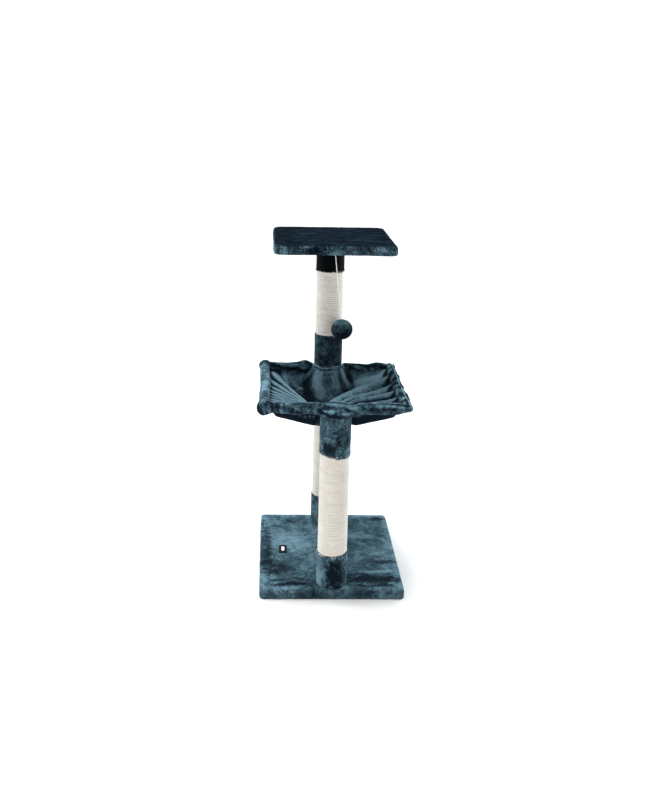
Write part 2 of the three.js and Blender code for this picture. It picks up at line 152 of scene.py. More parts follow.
SLING_PATCHES = (
    ((-0.120, -0.030, 0.455), (0.055, 0.140, 0.030), -0.01),
    ((0.100, -0.080, 0.450), (0.080, 0.080, 0.040), -0.06),
    ((0.020, 0.110, 0.440), (0.050, 0.040, 0.040), -0.09),
    # Painted shade: the deep middle of the bowl darker, here and in the next entry
    ((-0.075, 0.060, 0.405), (0.050, 0.080, 0.050), -0.12),
    ((0.030, 0.020, 0.380), (0.075, 0.060, 0.030), -0.09),
    ((-0.024, 0.100, 0.425), (0.016, 0.030, 0.035), 0.07),
    ((0.090, 0.115, 0.430), (0.075, 0.050, 0.060), 0.11),
    ((-0.110, 0.125, 0.440), (0.030, 0.025, 0.030), 0.06),
)

# How far inside the rods' centre lines the sling's edges lie, sideways and lengthways
SLING_INSET = (0.0075, 0.0045)

# The hammock's folds fan out from two points near the front post.
FOLD_RISE = 0.017
LEFT_APEX = (-0.045, -0.090)
LEFT_EDGE_ANGLE = 114.0
PLEAT_ANGLE = 9.4
RIGHT_APEX = (-0.107, -0.164)
# Direction from the right apex in degrees, and the cloth's depth under the rolls there.
FOLD_DEPTHS = (
    (8.0, 0.010), (17.0, 0.018), (21.5, 0.027), (23.5, 0.011), (26.4, 0.028), (30.0, 0.022),
    (32.0, 0.008), (34.2, 0.028), (36.5, 0.020), (38.6, 0.009), (40.6, 0.030), (44.0, 0.018),
    (46.6, 0.006), (48.5, 0.030), (60.0, 0.060))


def length_property(name, description, default, low=0.0, high=1.0):
    return bpy.props.FloatProperty(
        name=name, description=description, default=default, min=low, max=high,
        precision=4, unit="LENGTH")


def colour_property(name, description, default):
    return bpy.props.FloatVectorProperty(
        name=name, description=description, default=default, size=3,
        min=0.0, max=1.0, subtype="COLOR")


class CatTreeSizes(bpy.types.PropertyGroup):
    """Sizes of the soft pieces."""
    pile_relief: length_property(
        "Pile relief", "How far the plush rises and falls over its backing", 0.0009)
    pile_grain: length_property(
        "Pile grain", "Size of the smallest tufts in the plush", 0.004)
    cloth_thickness: length_property(
        "Cloth thickness", "Backing and pile of the plush together", 0.0024)
    voxel: length_property(
        "Surface step", "Spacing of the points on a wrapped cover", 0.0034)
    rope_pitch: length_property("Rope pitch", "Rise of one turn of sisal", 0.0052)
    rope_depth: length_property("Rope depth", "Thickness of the sisal, post outwards", 0.0041)
    sleeve_lip: length_property("Sleeve lip", "How far plush laps over the sisal", 0.0035)
    roll_radius: length_property("Roll radius", "Half the hammock's padded edge", 0.0134)
    rear_roll_radius: length_property("Rear roll radius", "Half the padded rear edge", 0.0098)
    sling_depth: length_property("Sling depth", "How far the hammock sags", 0.0935)
    pleat_height: length_property("Pleat height", "Rise of the narrow pleats", 0.0075)
    fold_height: length_property("Fold height", "Rise of the wide folds", FOLD_RISE)
    tuft_length: length_property("Tuft length", "Pile length on the ball", 0.0024)
    cord_diameter: length_property("Cord diameter", "Thickness of the toy's cord", 0.002)


class CatTreeColours(bpy.types.PropertyGroup):
    """Colours of the cloth, rope and inner pieces."""
    plush_light: colour_property("Plush light", "Pile lying towards the light", (0.130, 0.225, 0.275))
    plush_mid: colour_property("Plush middle", "Plush between its light and dark", (0.040, 0.078, 0.100))
    plush_dark: colour_property("Plush dark", "Pile lying away from the light", (0.0045, 0.0085, 0.014))
    lookout: colour_property("Lookout top", "Short navy plush of the lookout", (0.0026, 0.0054, 0.0100))
    # Near-black plush standing in for the shade under the lookout: painted shade
    shadow_plush: colour_property("Shaded plush", "Sleeve under the lookout", (0.0014, 0.0020, 0.0028))
    sisal: colour_property("Sisal", "Bleached sisal rope", (0.70, 0.665, 0.61))
    sisal_shade: colour_property("Sisal shade", "Sisal between its fibres", (0.50, 0.455, 0.385))
    cord: colour_property("Cord", "White elastic cord", (0.86, 0.86, 0.84))
    label: colour_property("Label", "Black woven label", (0.008, 0.008, 0.010))
    board: colour_property("Board", "Raw fibreboard", (0.42, 0.29, 0.17))
    felt: colour_property("Felt", "Felt under the boards", (0.030, 0.034, 0.038))
    cardboard: colour_property("Cardboard", "Wound paper tube", (0.40, 0.27, 0.15))
    plastic: colour_property("Plastic", "Moulded end plugs", (0.03, 0.03, 0.033))
    zinc: colour_property("Zinc", "Bolts, washers, inserts and staple", (0.62, 0.63, 0.65))
    black_steel: colour_property("Black steel", "Powder-coated hammock frame", (0.02, 0.02, 0.022))
    foam: colour_property("Foam", "Core of the ball", (0.78, 0.72, 0.55))


def sizes():
    """The sizes that the panel shows."""
    return bpy.context.scene.cat_tree_sizes


def colours():
    """The colours that the panel shows."""
    return bpy.context.scene.cat_tree_colours


# Smooth random relief

def lattice_value(corner, seed):
    """A repeatable value from -1 to 1 for each whole-numbered corner."""
    key = (corner[:, 0] * 374761393 + corner[:, 1] * 668265263
           + corner[:, 2] * 1274126177 + seed * 362437)
    key = np.bitwise_and(key, 0xFFFFFFFF)
    key = np.bitwise_and((key ^ (key >> 13)) * 1103515245, 0xFFFFFFFF)
    key = np.bitwise_and((key ^ (key >> 15)) * 2246822519, 0xFFFFFFFF)
    return (key ^ (key >> 16)) / 0x7FFFFFFF - 1.0


def relief(points, size, seed=0):
    """Soft random relief from -1 to 1 whose lumps are about size across."""
    scaled = np.asarray(points, float) / size
    low = np.floor(scaled).astype(np.int64)
    share = scaled - low
    share = share * share * (3 - 2 * share)
    total = np.zeros(len(scaled))
    for step in np.ndindex(2, 2, 2):
        step = np.array(step)
        weight = np.prod(np.where(step, share, 1 - share), axis=1)
        total += weight * lattice_value(low + step, seed)
    return total


def layered(points, size, seed=0, layers=3):
    """Relief with finer relief on it, each layer half the size and height."""
    return sum(relief(points, size / 2 ** i, seed + i) / 2 ** i for i in range(layers)) / 1.6


def ease(value, start, end):
    """0 before start, 1 after end, and a smooth change between."""
    share = np.clip((value - start) / (end - start), 0, 1)
    return share * share * (3 - 2 * share)


def hump(value, centre, spread):
    """1 at centre, falling smoothly to nothing about twice spread away."""
    return np.exp(-((value - centre) / spread) ** 2)


# Meshes

def mesh_piece(name, points, faces):
    """A smooth-shaded object from points and faces."""
    mesh = bpy.data.meshes.new(name)
    mesh.from_pydata([tuple(p) for p in points], [], [tuple(f) for f in faces])
    mesh.update()
    piece = bpy.data.objects.new(name, mesh)
    bpy.context.scene.collection.objects.link(piece)
    smooth(piece)
    return piece


def smooth(piece):
    piece.data.polygons.foreach_set("use_smooth", [True] * len(piece.data.polygons))
    piece.data.update()


def points_of(piece):
    flat = np.empty(len(piece.data.vertices) * 3, np.float32)
    piece.data.vertices.foreach_get("co", flat)
    return flat.reshape(-1, 3).astype(float)


def normals_of(piece):
    flat = np.empty(len(piece.data.vertices) * 3, np.float32)
    piece.data.vertex_normals.foreach_get("vector", flat)
    return flat.reshape(-1, 3).astype(float)


def move_points(piece, points):
    piece.data.vertices.foreach_set("co", np.asarray(points, np.float32).ravel())
    piece.data.update()


def raise_pile(piece, height, grain, seed=0, lump=0.03):
    """Lifts and sinks a surface along its normals like brushed plush."""
    points = points_of(piece)
    lift = 0.55 * layered(points, lump, seed) + 0.30 * layered(points, grain * 3, seed + 7, 2)
    lift += 0.30 * relief(points, grain, seed + 11)
    move_points(piece, points + normals_of(piece) * (lift * height)[:, None])


def mark_crests(piece, rounds, height, most=1.0):
    """Notes on each point how far it stands over (1) or under (-1) the surface round it, from which the
    plush finish paints ridges lighter and hollows darker: painted highlight and painted shade.
    """
    points, normals = points_of(piece), normals_of(piece)
    ends = np.empty(len(piece.data.edges) * 2, np.int32)
    piece.data.edges.foreach_get("vertices", ends)
    first, second = ends.reshape(-1, 2).T
    count = len(points)
    neighbours = np.maximum(np.bincount(first, minlength=count)
                            + np.bincount(second, minlength=count), 1)
    settled = points.copy()
    marks = []
    for round_number in range(1, rounds + 1):
        for axis in range(3):
            total = (np.bincount(first, settled[second, axis], count)
                     + np.bincount(second, settled[first, axis], count))
            settled[:, axis] = total / neighbours
        if round_number in (rounds // 5, rounds):
            proud = ((points - settled) * normals).sum(1)
            reach = height * math.sqrt(round_number / rounds)
            marks.append(np.clip((proud - np.median(proud)) / reach, -1, most))
    narrow, wide = marks
    crest_shading = piece.data.attributes.new("crest_shading", "FLOAT", "POINT")
    crest_shading.data.foreach_set("value", (0.6 * narrow + 0.4 * wide).astype(np.float32))


def with_modifiers(piece, *modifiers):
    """Adds modifiers given as (type, settings), and applies them in order."""
    for kind, settings in modifiers:
        modifier = piece.modifiers.new(kind.title(), kind)
        for key, value in settings.items():
            setattr(modifier, key, value)
    shaped = piece.evaluated_get(bpy.context.evaluated_depsgraph_get())
    mesh = bpy.data.meshes.new_from_object(shaped)
    piece.modifiers.clear()
    piece.data = mesh
    smooth(piece)
    return piece


def remeshed(piece, step):
    """One even skin over a piece, with a point every step."""
    return with_modifiers(piece, ("REMESH", {"mode": "VOXEL", "voxel_size": step}),
                          ("SMOOTH", {"factor": 0.5, "iterations": 4}))


def cut_away(piece, unwanted):
    """Deletes the faces for which unwanted(face) is true."""
    sheet = bmesh.new()
    sheet.from_mesh(piece.data)
    hidden = [face for face in sheet.faces if unwanted(face)]
    bmesh.ops.delete(sheet, geom=hidden, context="FACES")
    sheet.to_mesh(piece.data)
    sheet.free()


def grid_faces(rows, columns, closed_rows=False, closed_columns=False):
    """Quads over a grid of points that are listed row by row."""
    faces = []
    for row in range(rows if closed_rows else rows - 1):
        for column in range(columns if closed_columns else columns - 1):
            across = (column + 1) % columns
            below = (row + 1) % rows
            faces.append((row * columns + column, row * columns + across,
                          below * columns + across, below * columns + column))
    return faces


def capped_tube(rings):
    """Points and faces of a closed tube through rings of equal size."""
    rings = np.asarray(rings, float)
    count, sides = rings.shape[:2]
    points = np.concatenate([rings.reshape(-1, 3), rings[:1].mean(1), rings[-1:].mean(1)])
    faces = grid_faces(count, sides, closed_columns=True)
    start, end = count * sides, count * sides + 1
    last = (count - 1) * sides
    faces += [(start, (i + 1) % sides, i) for i in range(sides)]
    faces += [(end, last + i, last + (i + 1) % sides) for i in range(sides)]
    return points, faces


def evenly(route, step):
    """Points every step along a route of straight stretches, and the length at each."""
    route = np.asarray(route, float)
    lengths = np.concatenate([[0], np.cumsum(np.linalg.norm(np.diff(route, axis=0), axis=1))])
    at = np.linspace(0, lengths[-1], max(int(lengths[-1] / step), 2) + 1)
    return np.stack([np.interp(at, lengths, route[:, i]) for i in range(3)], axis=1), at


def roll_along(name, route, radius, sides=36, step=0.0035, dome=0.9):
    """A padded roll along a level route. radius(length, angle) gives its surface."""
    centres, at = evenly(route, step)
    ahead = np.gradient(centres, axis=0)
    ahead /= np.linalg.norm(ahead, axis=1)[:, None]
    side = np.cross(ahead, [0, 0, 1])
    side /= np.linalg.norm(side, axis=1)[:, None]
    angles = np.linspace(0, 2 * math.pi, sides, endpoint=False)
    rings = []
    caps = np.radians([78, 60, 40, 20])
    first, last = radius(at[:1], angles)[0], radius(at[-1:], angles)[0]

    def section(centre, across, radii):
        return (centre + across * (np.cos(angles) * radii)[:, None]
                + np.array([0, 0, 1]) * (np.sin(angles) * radii)[:, None])

    for tilt in caps:
        centre = centres[0] - ahead[0] * first.mean() * dome * math.sin(tilt)
        rings.append(section(centre, side[0], first * math.cos(tilt)))
    for centre, across, radii in zip(centres, side, radius(at, angles)):
        rings.append(section(centre, across, radii))
    for tilt in caps[::-1]:
        centre = centres[-1] + ahead[-1] * last.mean() * dome * math.sin(tilt)
        rings.append(section(centre, side[-1], last * math.cos(tilt)))
    return mesh_piece(name, *capped_tube(rings))


def cover(piece, finish):
    """Makes finish the piece's only material."""
    piece.data.materials.clear()
    piece.data.materials.append(finish)


def fasten(piece, finish, body="tree", replaces=()):
    """Gives a piece its finish and its body, and hides what it stands for."""
    cover(piece, finish)
    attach(piece, body)
    if replaces:
        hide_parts(*replaces)
    return piece


# Finishes

class Nodes:
    """Builds a material's nodes one after another."""

    def __init__(self, name):
        self.material = bpy.data.materials.new(name)
        self.material.use_nodes = True
        self.tree = self.material.node_tree
        self.shader = self.tree.nodes["Principled BSDF"]
        self.place = self.add("ShaderNodeTexCoord").outputs["Object"]

    def add(self, kind, inputs=None, **settings):
        node = self.tree.nodes.new(kind)
        for key, value in settings.items():
            setattr(node, key, value)
        for key, value in (inputs or {}).items():
            if isinstance(value, bpy.types.NodeSocket):
                self.tree.links.new(value, node.inputs[key])
            else:
                node.inputs[key].default_value = value
        return node

    def stretched(self, scale):
        node = self.add("ShaderNodeMapping", {"Vector": self.place, "Scale": scale})
        return node.outputs["Vector"]

    def noise(self, scale, detail=4.0, roughness=0.55, distortion=0.0, place=None):
        node = self.add("ShaderNodeTexNoise", {
            "Vector": place or self.place, "Scale": scale, "Detail": detail,
            "Roughness": roughness, "Distortion": distortion})
        return node.outputs["Fac"]

    def math(self, operation, first, second):
        return self.add("ShaderNodeMath", {0: first, 1: second}, operation=operation).outputs[0]

    def weighted(self, *parts):
        """The sum of (value, weight) pairs."""
        total = None
        for value, weight in parts:
            term = self.math("MULTIPLY", value, weight)
            total = term if total is None else self.math("ADD", total, term)
        return total

    def ramp(self, value, stops):
        """A colour ramp through (position, colour) stops."""
        node = self.add("ShaderNodeValToRGB", {"Fac": value})
        ramp = node.color_ramp
        while len(ramp.elements) < len(stops):
            ramp.elements.new(1.0)
        for element, (position, colour) in zip(ramp.elements, stops):
            element.position = position
            element.color = (*colour[:3], 1.0)
        return node.outputs["Color"]

    def mixed(self, share, first, second):
        node = self.add("ShaderNodeMix", data_type="RGBA")
        for socket, value in ((node.inputs["Factor"], share), (node.inputs["A"], first),
                              (node.inputs["B"], second)):
            if isinstance(value, bpy.types.NodeSocket):
                self.tree.links.new(value, socket)
            else:
                socket.default_value = value if isinstance(value, float) else (*value[:3], 1.0)
        return node.outputs["Result"]

    def bump(self, height, distance, strength=1.0):
        node = self.add("ShaderNodeBump", {
            "Height": height, "Distance": distance, "Strength": strength})
        self.tree.links.new(node.outputs["Normal"], self.shader.inputs["Normal"])

    def surface(self, colour, **settings):
        """Sets the shader: colour is a socket or a plain colour."""
        if isinstance(colour, bpy.types.NodeSocket):
            self.tree.links.new(colour, self.shader.inputs["Base Color"])
        else:
            self.shader.inputs["Base Color"].default_value = (*colour[:3], 1.0)
        for key, value in settings.items():
            self.shader.inputs[key.replace("_", " ").title().replace("Ior", "IOR")].default_value = value
        return self.material


def between(first, second, share):
    return tuple(a + (b - a) * share for a, b in zip(first, second))


def plush_finish(name, patches=(), patch=13.0, shift=0.0, sheen=0.16, offset=(0, 0, 0),
                 contrast=1.0, underside_shade=0.0):
    """Crushed velvet plush: light and dark patches, brushed streaks and pile grain.

    patch is how many broad patches a metre holds, and a higher shift is a lighter plush.
    patches are (centre, radii, amount): places painted lighter or darker, some of them as painted light and
    shade.
    The last amount darkens what faces down: painted shade. Fold ridges and hollows get painted highlight
    and shade.
    """
    nodes = Nodes(name)
    place = nodes.add("ShaderNodeMapping", {"Vector": nodes.place, "Location": offset})
    place = place.outputs["Vector"]
    broad = nodes.noise(patch, 3.0, 0.55, 0.9, place)
    brushed = nodes.noise(patch * 3.4, 6.0, 0.72, 1.6, place)
    tufts = nodes.noise(210.0, 5.0, 0.75, 0.4, place)
    pile = nodes.noise(1300.0, 2.0, 0.6, 0.0, place)
    lay = nodes.weighted((broad, 0.34 * contrast), (brushed, 0.42 * contrast),
                         (tufts, 0.26), (pile, 0.10))
    ragged = nodes.math("MULTIPLY_ADD", brushed, 1.5)
    ragged.node.inputs[2].default_value = -0.75
    for centre, radii, amount in patches:
        near = nodes.add("ShaderNodeMapping", {
            "Vector": nodes.place, "Location": tuple(-c / r for c, r in zip(centre, radii)),
            "Scale": tuple(1 / r for r in radii)})
        away = nodes.add("ShaderNodeVectorMath", {0: near.outputs["Vector"]}, operation="LENGTH")
        edge = nodes.math("ADD", away.outputs["Value"], ragged)
        share = nodes.add("ShaderNodeMapRange", {
            "Value": edge, "From Min": 1.15, "From Max": 0.45}, interpolation_type="SMOOTHSTEP")
        lay = nodes.math("ADD", lay, nodes.math("MULTIPLY", share.outputs["Result"], amount))
    # Painted shade: darker where the surface faces down
    if underside_shade:
        facing = nodes.add("ShaderNodeNewGeometry").outputs["Normal"]
        upward = nodes.add("ShaderNodeSeparateXYZ", {"Vector": facing}).outputs["Z"]
        below = nodes.add("ShaderNodeMapRange", {
            "Value": upward, "From Min": -0.1, "From Max": -0.5, "To Max": -underside_shade})
        lay = nodes.math("ADD", lay, below.outputs["Result"])
    # Painted highlight on the ridges of folds and painted shade in their hollows
    crest_shading = nodes.add("ShaderNodeAttribute", attribute_name="crest_shading").outputs["Fac"]
    lay = nodes.math("ADD", lay, nodes.math("MULTIPLY", crest_shading, 0.20))
    tones = colours()
    middle = 0.18 + 0.38 * contrast - shift
    colour = nodes.ramp(lay, [
        (middle - 0.130, tuple(tones.plush_dark)),
        (middle - 0.045, between(tones.plush_dark, tones.plush_mid, 0.55)),
        (middle + 0.010, tuple(tones.plush_mid)),
        (middle + 0.075, between(tones.plush_mid, tones.plush_light, 0.55)),
        (middle + 0.165, tuple(tones.plush_light))])
    nodes.bump(nodes.weighted((brushed, 0.30), (tufts, 0.45), (pile, 0.25)), 0.0018, 0.9)
    return nodes.surface(colour, roughness=0.85, sheen_weight=sheen, sheen_roughness=0.35,
                         sheen_tint=(0.50, 0.72, 0.85, 1.0), specular_ior_level=0.0)


def lookout_finish():
    """Navy plush that lies flat on top and stands up, paler and speckled, round the edge, partly as painted
    sheen; a painted highlight runs along the top's back edge.
    """
    nodes = Nodes("lookout_plush")
    across = nodes.stretched((1.0, 3.2, 3.0))
    streaks = nodes.noise(22.0, 6.0, 0.6, 0.8, across)
    speckle = nodes.noise(260.0, 4.0, 0.75, 0.2)
    shifted = nodes.add("ShaderNodeMapping", {"Vector": nodes.place, "Location": (0.08, 0, 0)})
    broad = nodes.noise(16.0, 3.0, 0.5, 0.8, shifted.outputs["Vector"])
    dark, mid, light, navy = (tuple(tone) for tone in (
        colours().plush_dark, colours().plush_mid, colours().plush_light, colours().lookout))
    flat = nodes.ramp(nodes.weighted((streaks, 0.65), (speckle, 0.35)), [
        (0.38, between(navy, (0, 0, 0), 0.45)),
        (0.51, navy),
        (0.60, between(navy, mid, 0.22)),
        (0.70, between(navy, light, 0.26))])
    edge = nodes.ramp(nodes.weighted((broad, 0.52), (speckle, 0.48)), [
        (0.42, between(dark, (0, 0, 0), 0.4)),
        (0.465, between(dark, mid, 0.35)),
        (0.51, mid),
        (0.57, between(mid, light, 0.7)),
        (0.62, light)])
    split = nodes.add("ShaderNodeSeparateXYZ", {"Vector": nodes.place})
    # Painted highlight: broken patches of the light tone along the top's back edge
    back_edge_highlight = nodes.add("ShaderNodeMapRange", {
        "Value": split.outputs["Y"], "From Min": TOP_HIGH.y - 0.010, "From Max": TOP_HIGH.y - 0.003})
    patchy = nodes.add("ShaderNodeMapRange", {"Value": broad, "From Min": 0.42, "From Max": 0.55})
    highlight_share = nodes.math("MULTIPLY", back_edge_highlight.outputs["Result"], patchy.outputs["Result"])
    flat = nodes.mixed(highlight_share, flat, light)
    ragged = nodes.weighted((split.outputs["Z"], 1.0), (broad, 0.006))
    on_top = nodes.add("ShaderNodeMapRange", {
        "Value": ragged, "From Min": TOP_HIGH.z - 0.0035, "From Max": TOP_HIGH.z + 0.0025})
    # Darker on top and paler round the edge: partly the pile's lay, partly painted sheen
    colour = nodes.mixed(on_top.outputs["Result"], edge, flat)
    nodes.bump(nodes.weighted((streaks, 0.3), (speckle, 0.7)), 0.0014, 0.7)
    return nodes.surface(colour, roughness=0.9, sheen_weight=0.02, sheen_roughness=0.3,
                         sheen_tint=(0.45, 0.66, 0.85, 1.0), specular_ior_level=0.0)


def sisal_finish():
    """Bleached rope: fibres that run round the post, tinted a little from turn to turn."""
    nodes = Nodes("sisal")
    fibres = nodes.noise(420.0, 5.0, 0.65, 0.4, nodes.stretched((0.35, 0.35, 2.6)))
    tint = nodes.noise(38.0, 3.0, 0.6, 0.5, nodes.stretched((0.5, 0.5, 2.2)))
    flecks = nodes.noise(900.0, 3.0, 0.7, 0.0)
    blend = nodes.weighted((fibres, 0.45), (tint, 0.35), (flecks, 0.20))
    sisal, shade = colours().sisal, colours().sisal_shade
    colour = nodes.ramp(blend, [
        (0.30, tuple(shade)),
        (0.44, between(shade, sisal, 0.72)),
        (0.56, tuple(sisal)),
        (0.72, between(sisal, (0.92, 0.90, 0.85), 0.7))])
    nodes.bump(nodes.weighted((fibres, 0.7), (flecks, 0.3)), 0.0009, 0.8)
    return nodes.surface(colour, roughness=0.85, sheen_weight=0.12, specular_ior_level=0.25)


def grained_finish(name, colour, scale, depth, spread=0.25, stretch=(1, 1, 1), **settings):
    """A plain finish with a grain of its own: cord, felt, board, paper, plastic or foam."""
    nodes = Nodes(name)
    grain = nodes.noise(scale, 5.0, 0.65, 0.2, nodes.stretched(stretch))
    broad = nodes.noise(scale / 12, 3.0, 0.5, 0.4)
    blend = nodes.weighted((grain, 0.7), (broad, 0.3))
    base = tuple(colour)
    shade = nodes.ramp(blend, [
        (0.32, tuple(c * (1 - spread) for c in base)),
        (0.52, base),
        (0.70, tuple(min(c * (1 + spread), 1.0) for c in base))])
    nodes.bump(grain, depth, 0.7)
    return nodes.surface(shade, **settings)


def metal_finish(name, colour, metallic, roughness):
    """Metal with fine brushing and slightly uneven gloss."""
    nodes = Nodes(name)
    brushing = nodes.noise(700.0, 4.0, 0.6, 0.1, nodes.stretched((1.0, 1.0, 0.15)))
    uneven = nodes.noise(60.0, 3.0, 0.5, 0.3)
    base = tuple(colour)
    shade = nodes.ramp(nodes.weighted((brushing, 0.6), (uneven, 0.4)), [
        (0.34, tuple(c * 0.82 for c in base)),
        (0.66, tuple(min(c * 1.12, 1.0) for c in base))])
    gloss = nodes.add("ShaderNodeMapRange", {
        "Value": uneven, "To Min": roughness - 0.08, "To Max": roughness + 0.10})
    nodes.tree.links.new(gloss.outputs["Result"], nodes.shader.inputs["Roughness"])
    nodes.bump(brushing, 0.0001, 0.4)
    return nodes.surface(shade, metallic=metallic)


# Pieces

def build_cord():
    """The toy's cord: one straight run from its loop to the ball."""
    curve = bpy.data.curves.new("toy_cord_line", "CURVE")
    curve.dimensions = "3D"
    curve.bevel_depth = sizes().cord_diameter / 2
    curve.bevel_resolution = 4
    spline = curve.splines.new("POLY")
    spline.points.add(CORD_POINTS - 1)
    down = (BALL_CENTRE - CORD_TOP).normalized()
    for i, point in enumerate(spline.points):
        place = CORD_TOP + down * (CORD_LENGTH * i / (CORD_POINTS - 1))
        point.co = (*place, 1.0)
    cord = bpy.data.objects.new("toy_cord_line", curve)
    bpy.context.scene.collection.objects.link(cord)
    return cord


def build_knot():
    """A small overhand knot just below the loop."""
    down = np.array((BALL_CENTRE - CORD_TOP).normalized())
    centre = np.array(CORD_TOP) + down * 0.0022
    turn = np.linspace(0, 2 * math.pi, 49)[:-1]
    size = 0.0013
    route = np.stack([
        (np.sin(turn) + 2 * np.sin(2 * turn)) * size * 0.55,
        (np.cos(turn) - 2 * np.cos(2 * turn)) * size * 0.55,
        -np.sin(3 * turn) * size * 0.8], axis=1) + centre
    ahead = np.roll(route, -1, axis=0) - np.roll(route, 1, axis=0)
    ahead /= np.linalg.norm(ahead, axis=1)[:, None]
    side = np.cross(ahead, [0.0, 0.0, 1.0])
    side /= np.linalg.norm(side, axis=1)[:, None]
    upward = np.cross(side, ahead)
    angles = np.linspace(0, 2 * math.pi, 10, endpoint=False)
    rings = [c + (s * np.cos(angles)[:, None] + u * np.sin(angles)[:, None]) * 0.00085
             for c, s, u in zip(route, side, upward)]
    points = np.concatenate(rings)
    return mesh_piece("toy_cord_knot", points,
                      grid_faces(len(rings), 10, closed_rows=True, closed_columns=True))


def build_ball():
    """A plush ball: a slightly flattened core of pile with thousands of short tufts."""
    shell = bmesh.new()
    bmesh.ops.create_icosphere(shell, subdivisions=5, radius=1.0)
    points = np.array([v.co for v in shell.verts])
    faces = [[v.index for v in f.verts] for f in shell.faces]
    shell.free()
    radius = (BALL_HIGH.x - BALL_LOW.x) / 2
    flatten = np.array([1.015, 1.0, 0.955])
    lumps = 1 + 0.018 * layered(points, 0.55, 3) + 0.010 * relief(points, 0.12, 9)
    centre = np.array(BALL_CENTRE)
    skin = points * lumps[:, None] * flatten * (radius - 0.0008)

    count = TUFT_COUNT
    order = np.arange(count) + 0.5
    rise = 1 - 2 * order / count
    around = order * math.pi * (1 + math.sqrt(5))
    level = np.sqrt(1 - rise ** 2)
    roots = np.stack([level * np.cos(around), level * np.sin(around), rise], axis=1)
    scatter = np.random.default_rng(5)
    lean = scatter.normal(0, 0.32, (count, 3))
    growth = roots + lean - roots * (roots * lean).sum(1)[:, None]
    growth /= np.linalg.norm(growth, axis=1)[:, None]
    tall = sizes().tuft_length * scatter.uniform(0.55, 1.0, count)[:, None]
    side = np.cross(growth, [0.3, 0.2, 0.93])
    side /= np.linalg.norm(side, axis=1)[:, None]
    other = np.cross(growth, side)
    foot = roots * flatten * (radius - 0.0014)
    wide = TUFT_HALF_WIDTH
    corners = [foot + side * wide, foot - side * wide * 0.5 + other * wide * 0.87,
               foot - side * wide * 0.5 - other * wide * 0.87, foot + growth * tall]
    tufts = np.stack(corners, axis=1).reshape(-1, 3)
    first = len(skin)
    for i in range(count):
        a = first + 4 * i
        faces += [(a, a + 1, a + 3), (a + 1, a + 2, a + 3), (a + 2, a, a + 3), (a, a + 2, a + 1)]
    return mesh_piece("toy_ball_plush", np.concatenate([skin, tufts]) + centre, faces)


def outline(width, depth, corner, inset):
    """Points round a rectangle with round corners, drawn in by inset."""
    radius = max(corner - inset, 0.001)
    half_x, half_y = width / 2 - inset - radius, depth / 2 - inset - radius
    points = []
    for quarter, (sx, sy) in enumerate([(1, 1), (-1, 1), (-1, -1), (1, -1)]):
        for step in range(9):
            angle = math.pi / 2 * (quarter + step / 8)
            points.append((sx * half_x + radius * math.cos(angle),
                           sy * half_y + radius * math.sin(angle)))
    return np.array(points)


def wrapped_slab(name, board, low, high, corner, edge, shape):
    """Plush stretched over a board and turned in round its lower edge.

    shape(points, normals) returns the points after the cloth has settled.
    """
    size = high - low
    centre = (low + high) / 2
    rings = []
    for tilt in np.linspace(-math.pi / 2, math.pi / 2, 12):
        rounding = edge if tilt > 0 else LOWER_EDGE
        inset = rounding * (1 - math.cos(tilt))
        rise = (size.z / 2 - rounding) * np.sign(tilt) + rounding * math.sin(tilt)
        flat = outline(size.x, size.y, corner, inset)
        height = np.full((len(flat), 1), centre.z + rise)
        rings.append(np.hstack([flat + [centre.x, centre.y], height]))
    rings = np.array(rings)
    count, sides = rings.shape[:2]
    faces = grid_faces(count, sides, closed_columns=True)
    faces += [list(range(sides))[::-1], [(count - 1) * sides + i for i in range(sides)]]
    slab = remeshed(mesh_piece(name, rings.reshape(-1, 3), faces), sizes().voxel)
    settled = shape(points_of(slab), normals_of(slab))
    move_points(slab, kept_clear(settled, board, corner - 0.0035, sizes().cloth_thickness + 0.0006))

    open_x, open_y = size.x / 2 - HEM, size.y / 2 - HEM
    cut_away(slab, lambda face: face.normal.z < -0.7 and all(
        abs(v.co.x - centre.x) < open_x and abs(v.co.y - centre.y) < open_y
        for v in face.verts))
    mark_crests(slab, 30, 0.0022, most=0.2)
    with_modifiers(
        slab,
        ("SOLIDIFY", {"thickness": sizes().cloth_thickness, "offset": -1.0}),
        ("SUBSURF", {"levels": 1}))
    raise_pile(slab, sizes().pile_relief * 0.55, sizes().pile_grain, seed=3, lump=0.012)
    points = points_of(slab)
    points[:, 2] = np.maximum(points[:, 2], low.z)
    move_points(slab, points)
    return slab


def kept_clear(points, board, corner, gap):
    """Moves points that are nearer than gap to a board outwards, along its nearest face."""
    low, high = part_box(board)
    centre, half = np.array((low + high) / 2), np.array((high - low) / 2)
    from_centre = points - centre
    past = np.abs(from_centre[:, :2]) - (half[:2] - corner)
    reach = np.hypot(*np.maximum(past, 0).T)
    outside = reach + np.minimum(past.max(1), 0) - corner
    above = np.abs(from_centre[:, 2]) - half[2]
    sideways = outside > above
    short_side = np.sqrt(np.maximum(gap ** 2 - np.maximum(above, 0) ** 2, 0)) - outside
    short_top = np.sqrt(np.maximum(gap ** 2 - np.maximum(outside, 0) ** 2, 0)) - above
    away = np.where(past > 0, past, 0) * np.sign(from_centre[:, :2])
    nearest = np.where(past == past.max(1)[:, None], 1, 0) * np.sign(from_centre[:, :2])
    away = np.where(reach[:, None] > 0, away / np.maximum(reach, 1e-9)[:, None], nearest)
    moved = points.copy()
    moved[:, :2] += away * (np.maximum(short_side, 0) * sideways)[:, None]
    moved[:, 2] += np.sign(from_centre[:, 2]) * np.maximum(short_top, 0) * ~sideways
    return moved


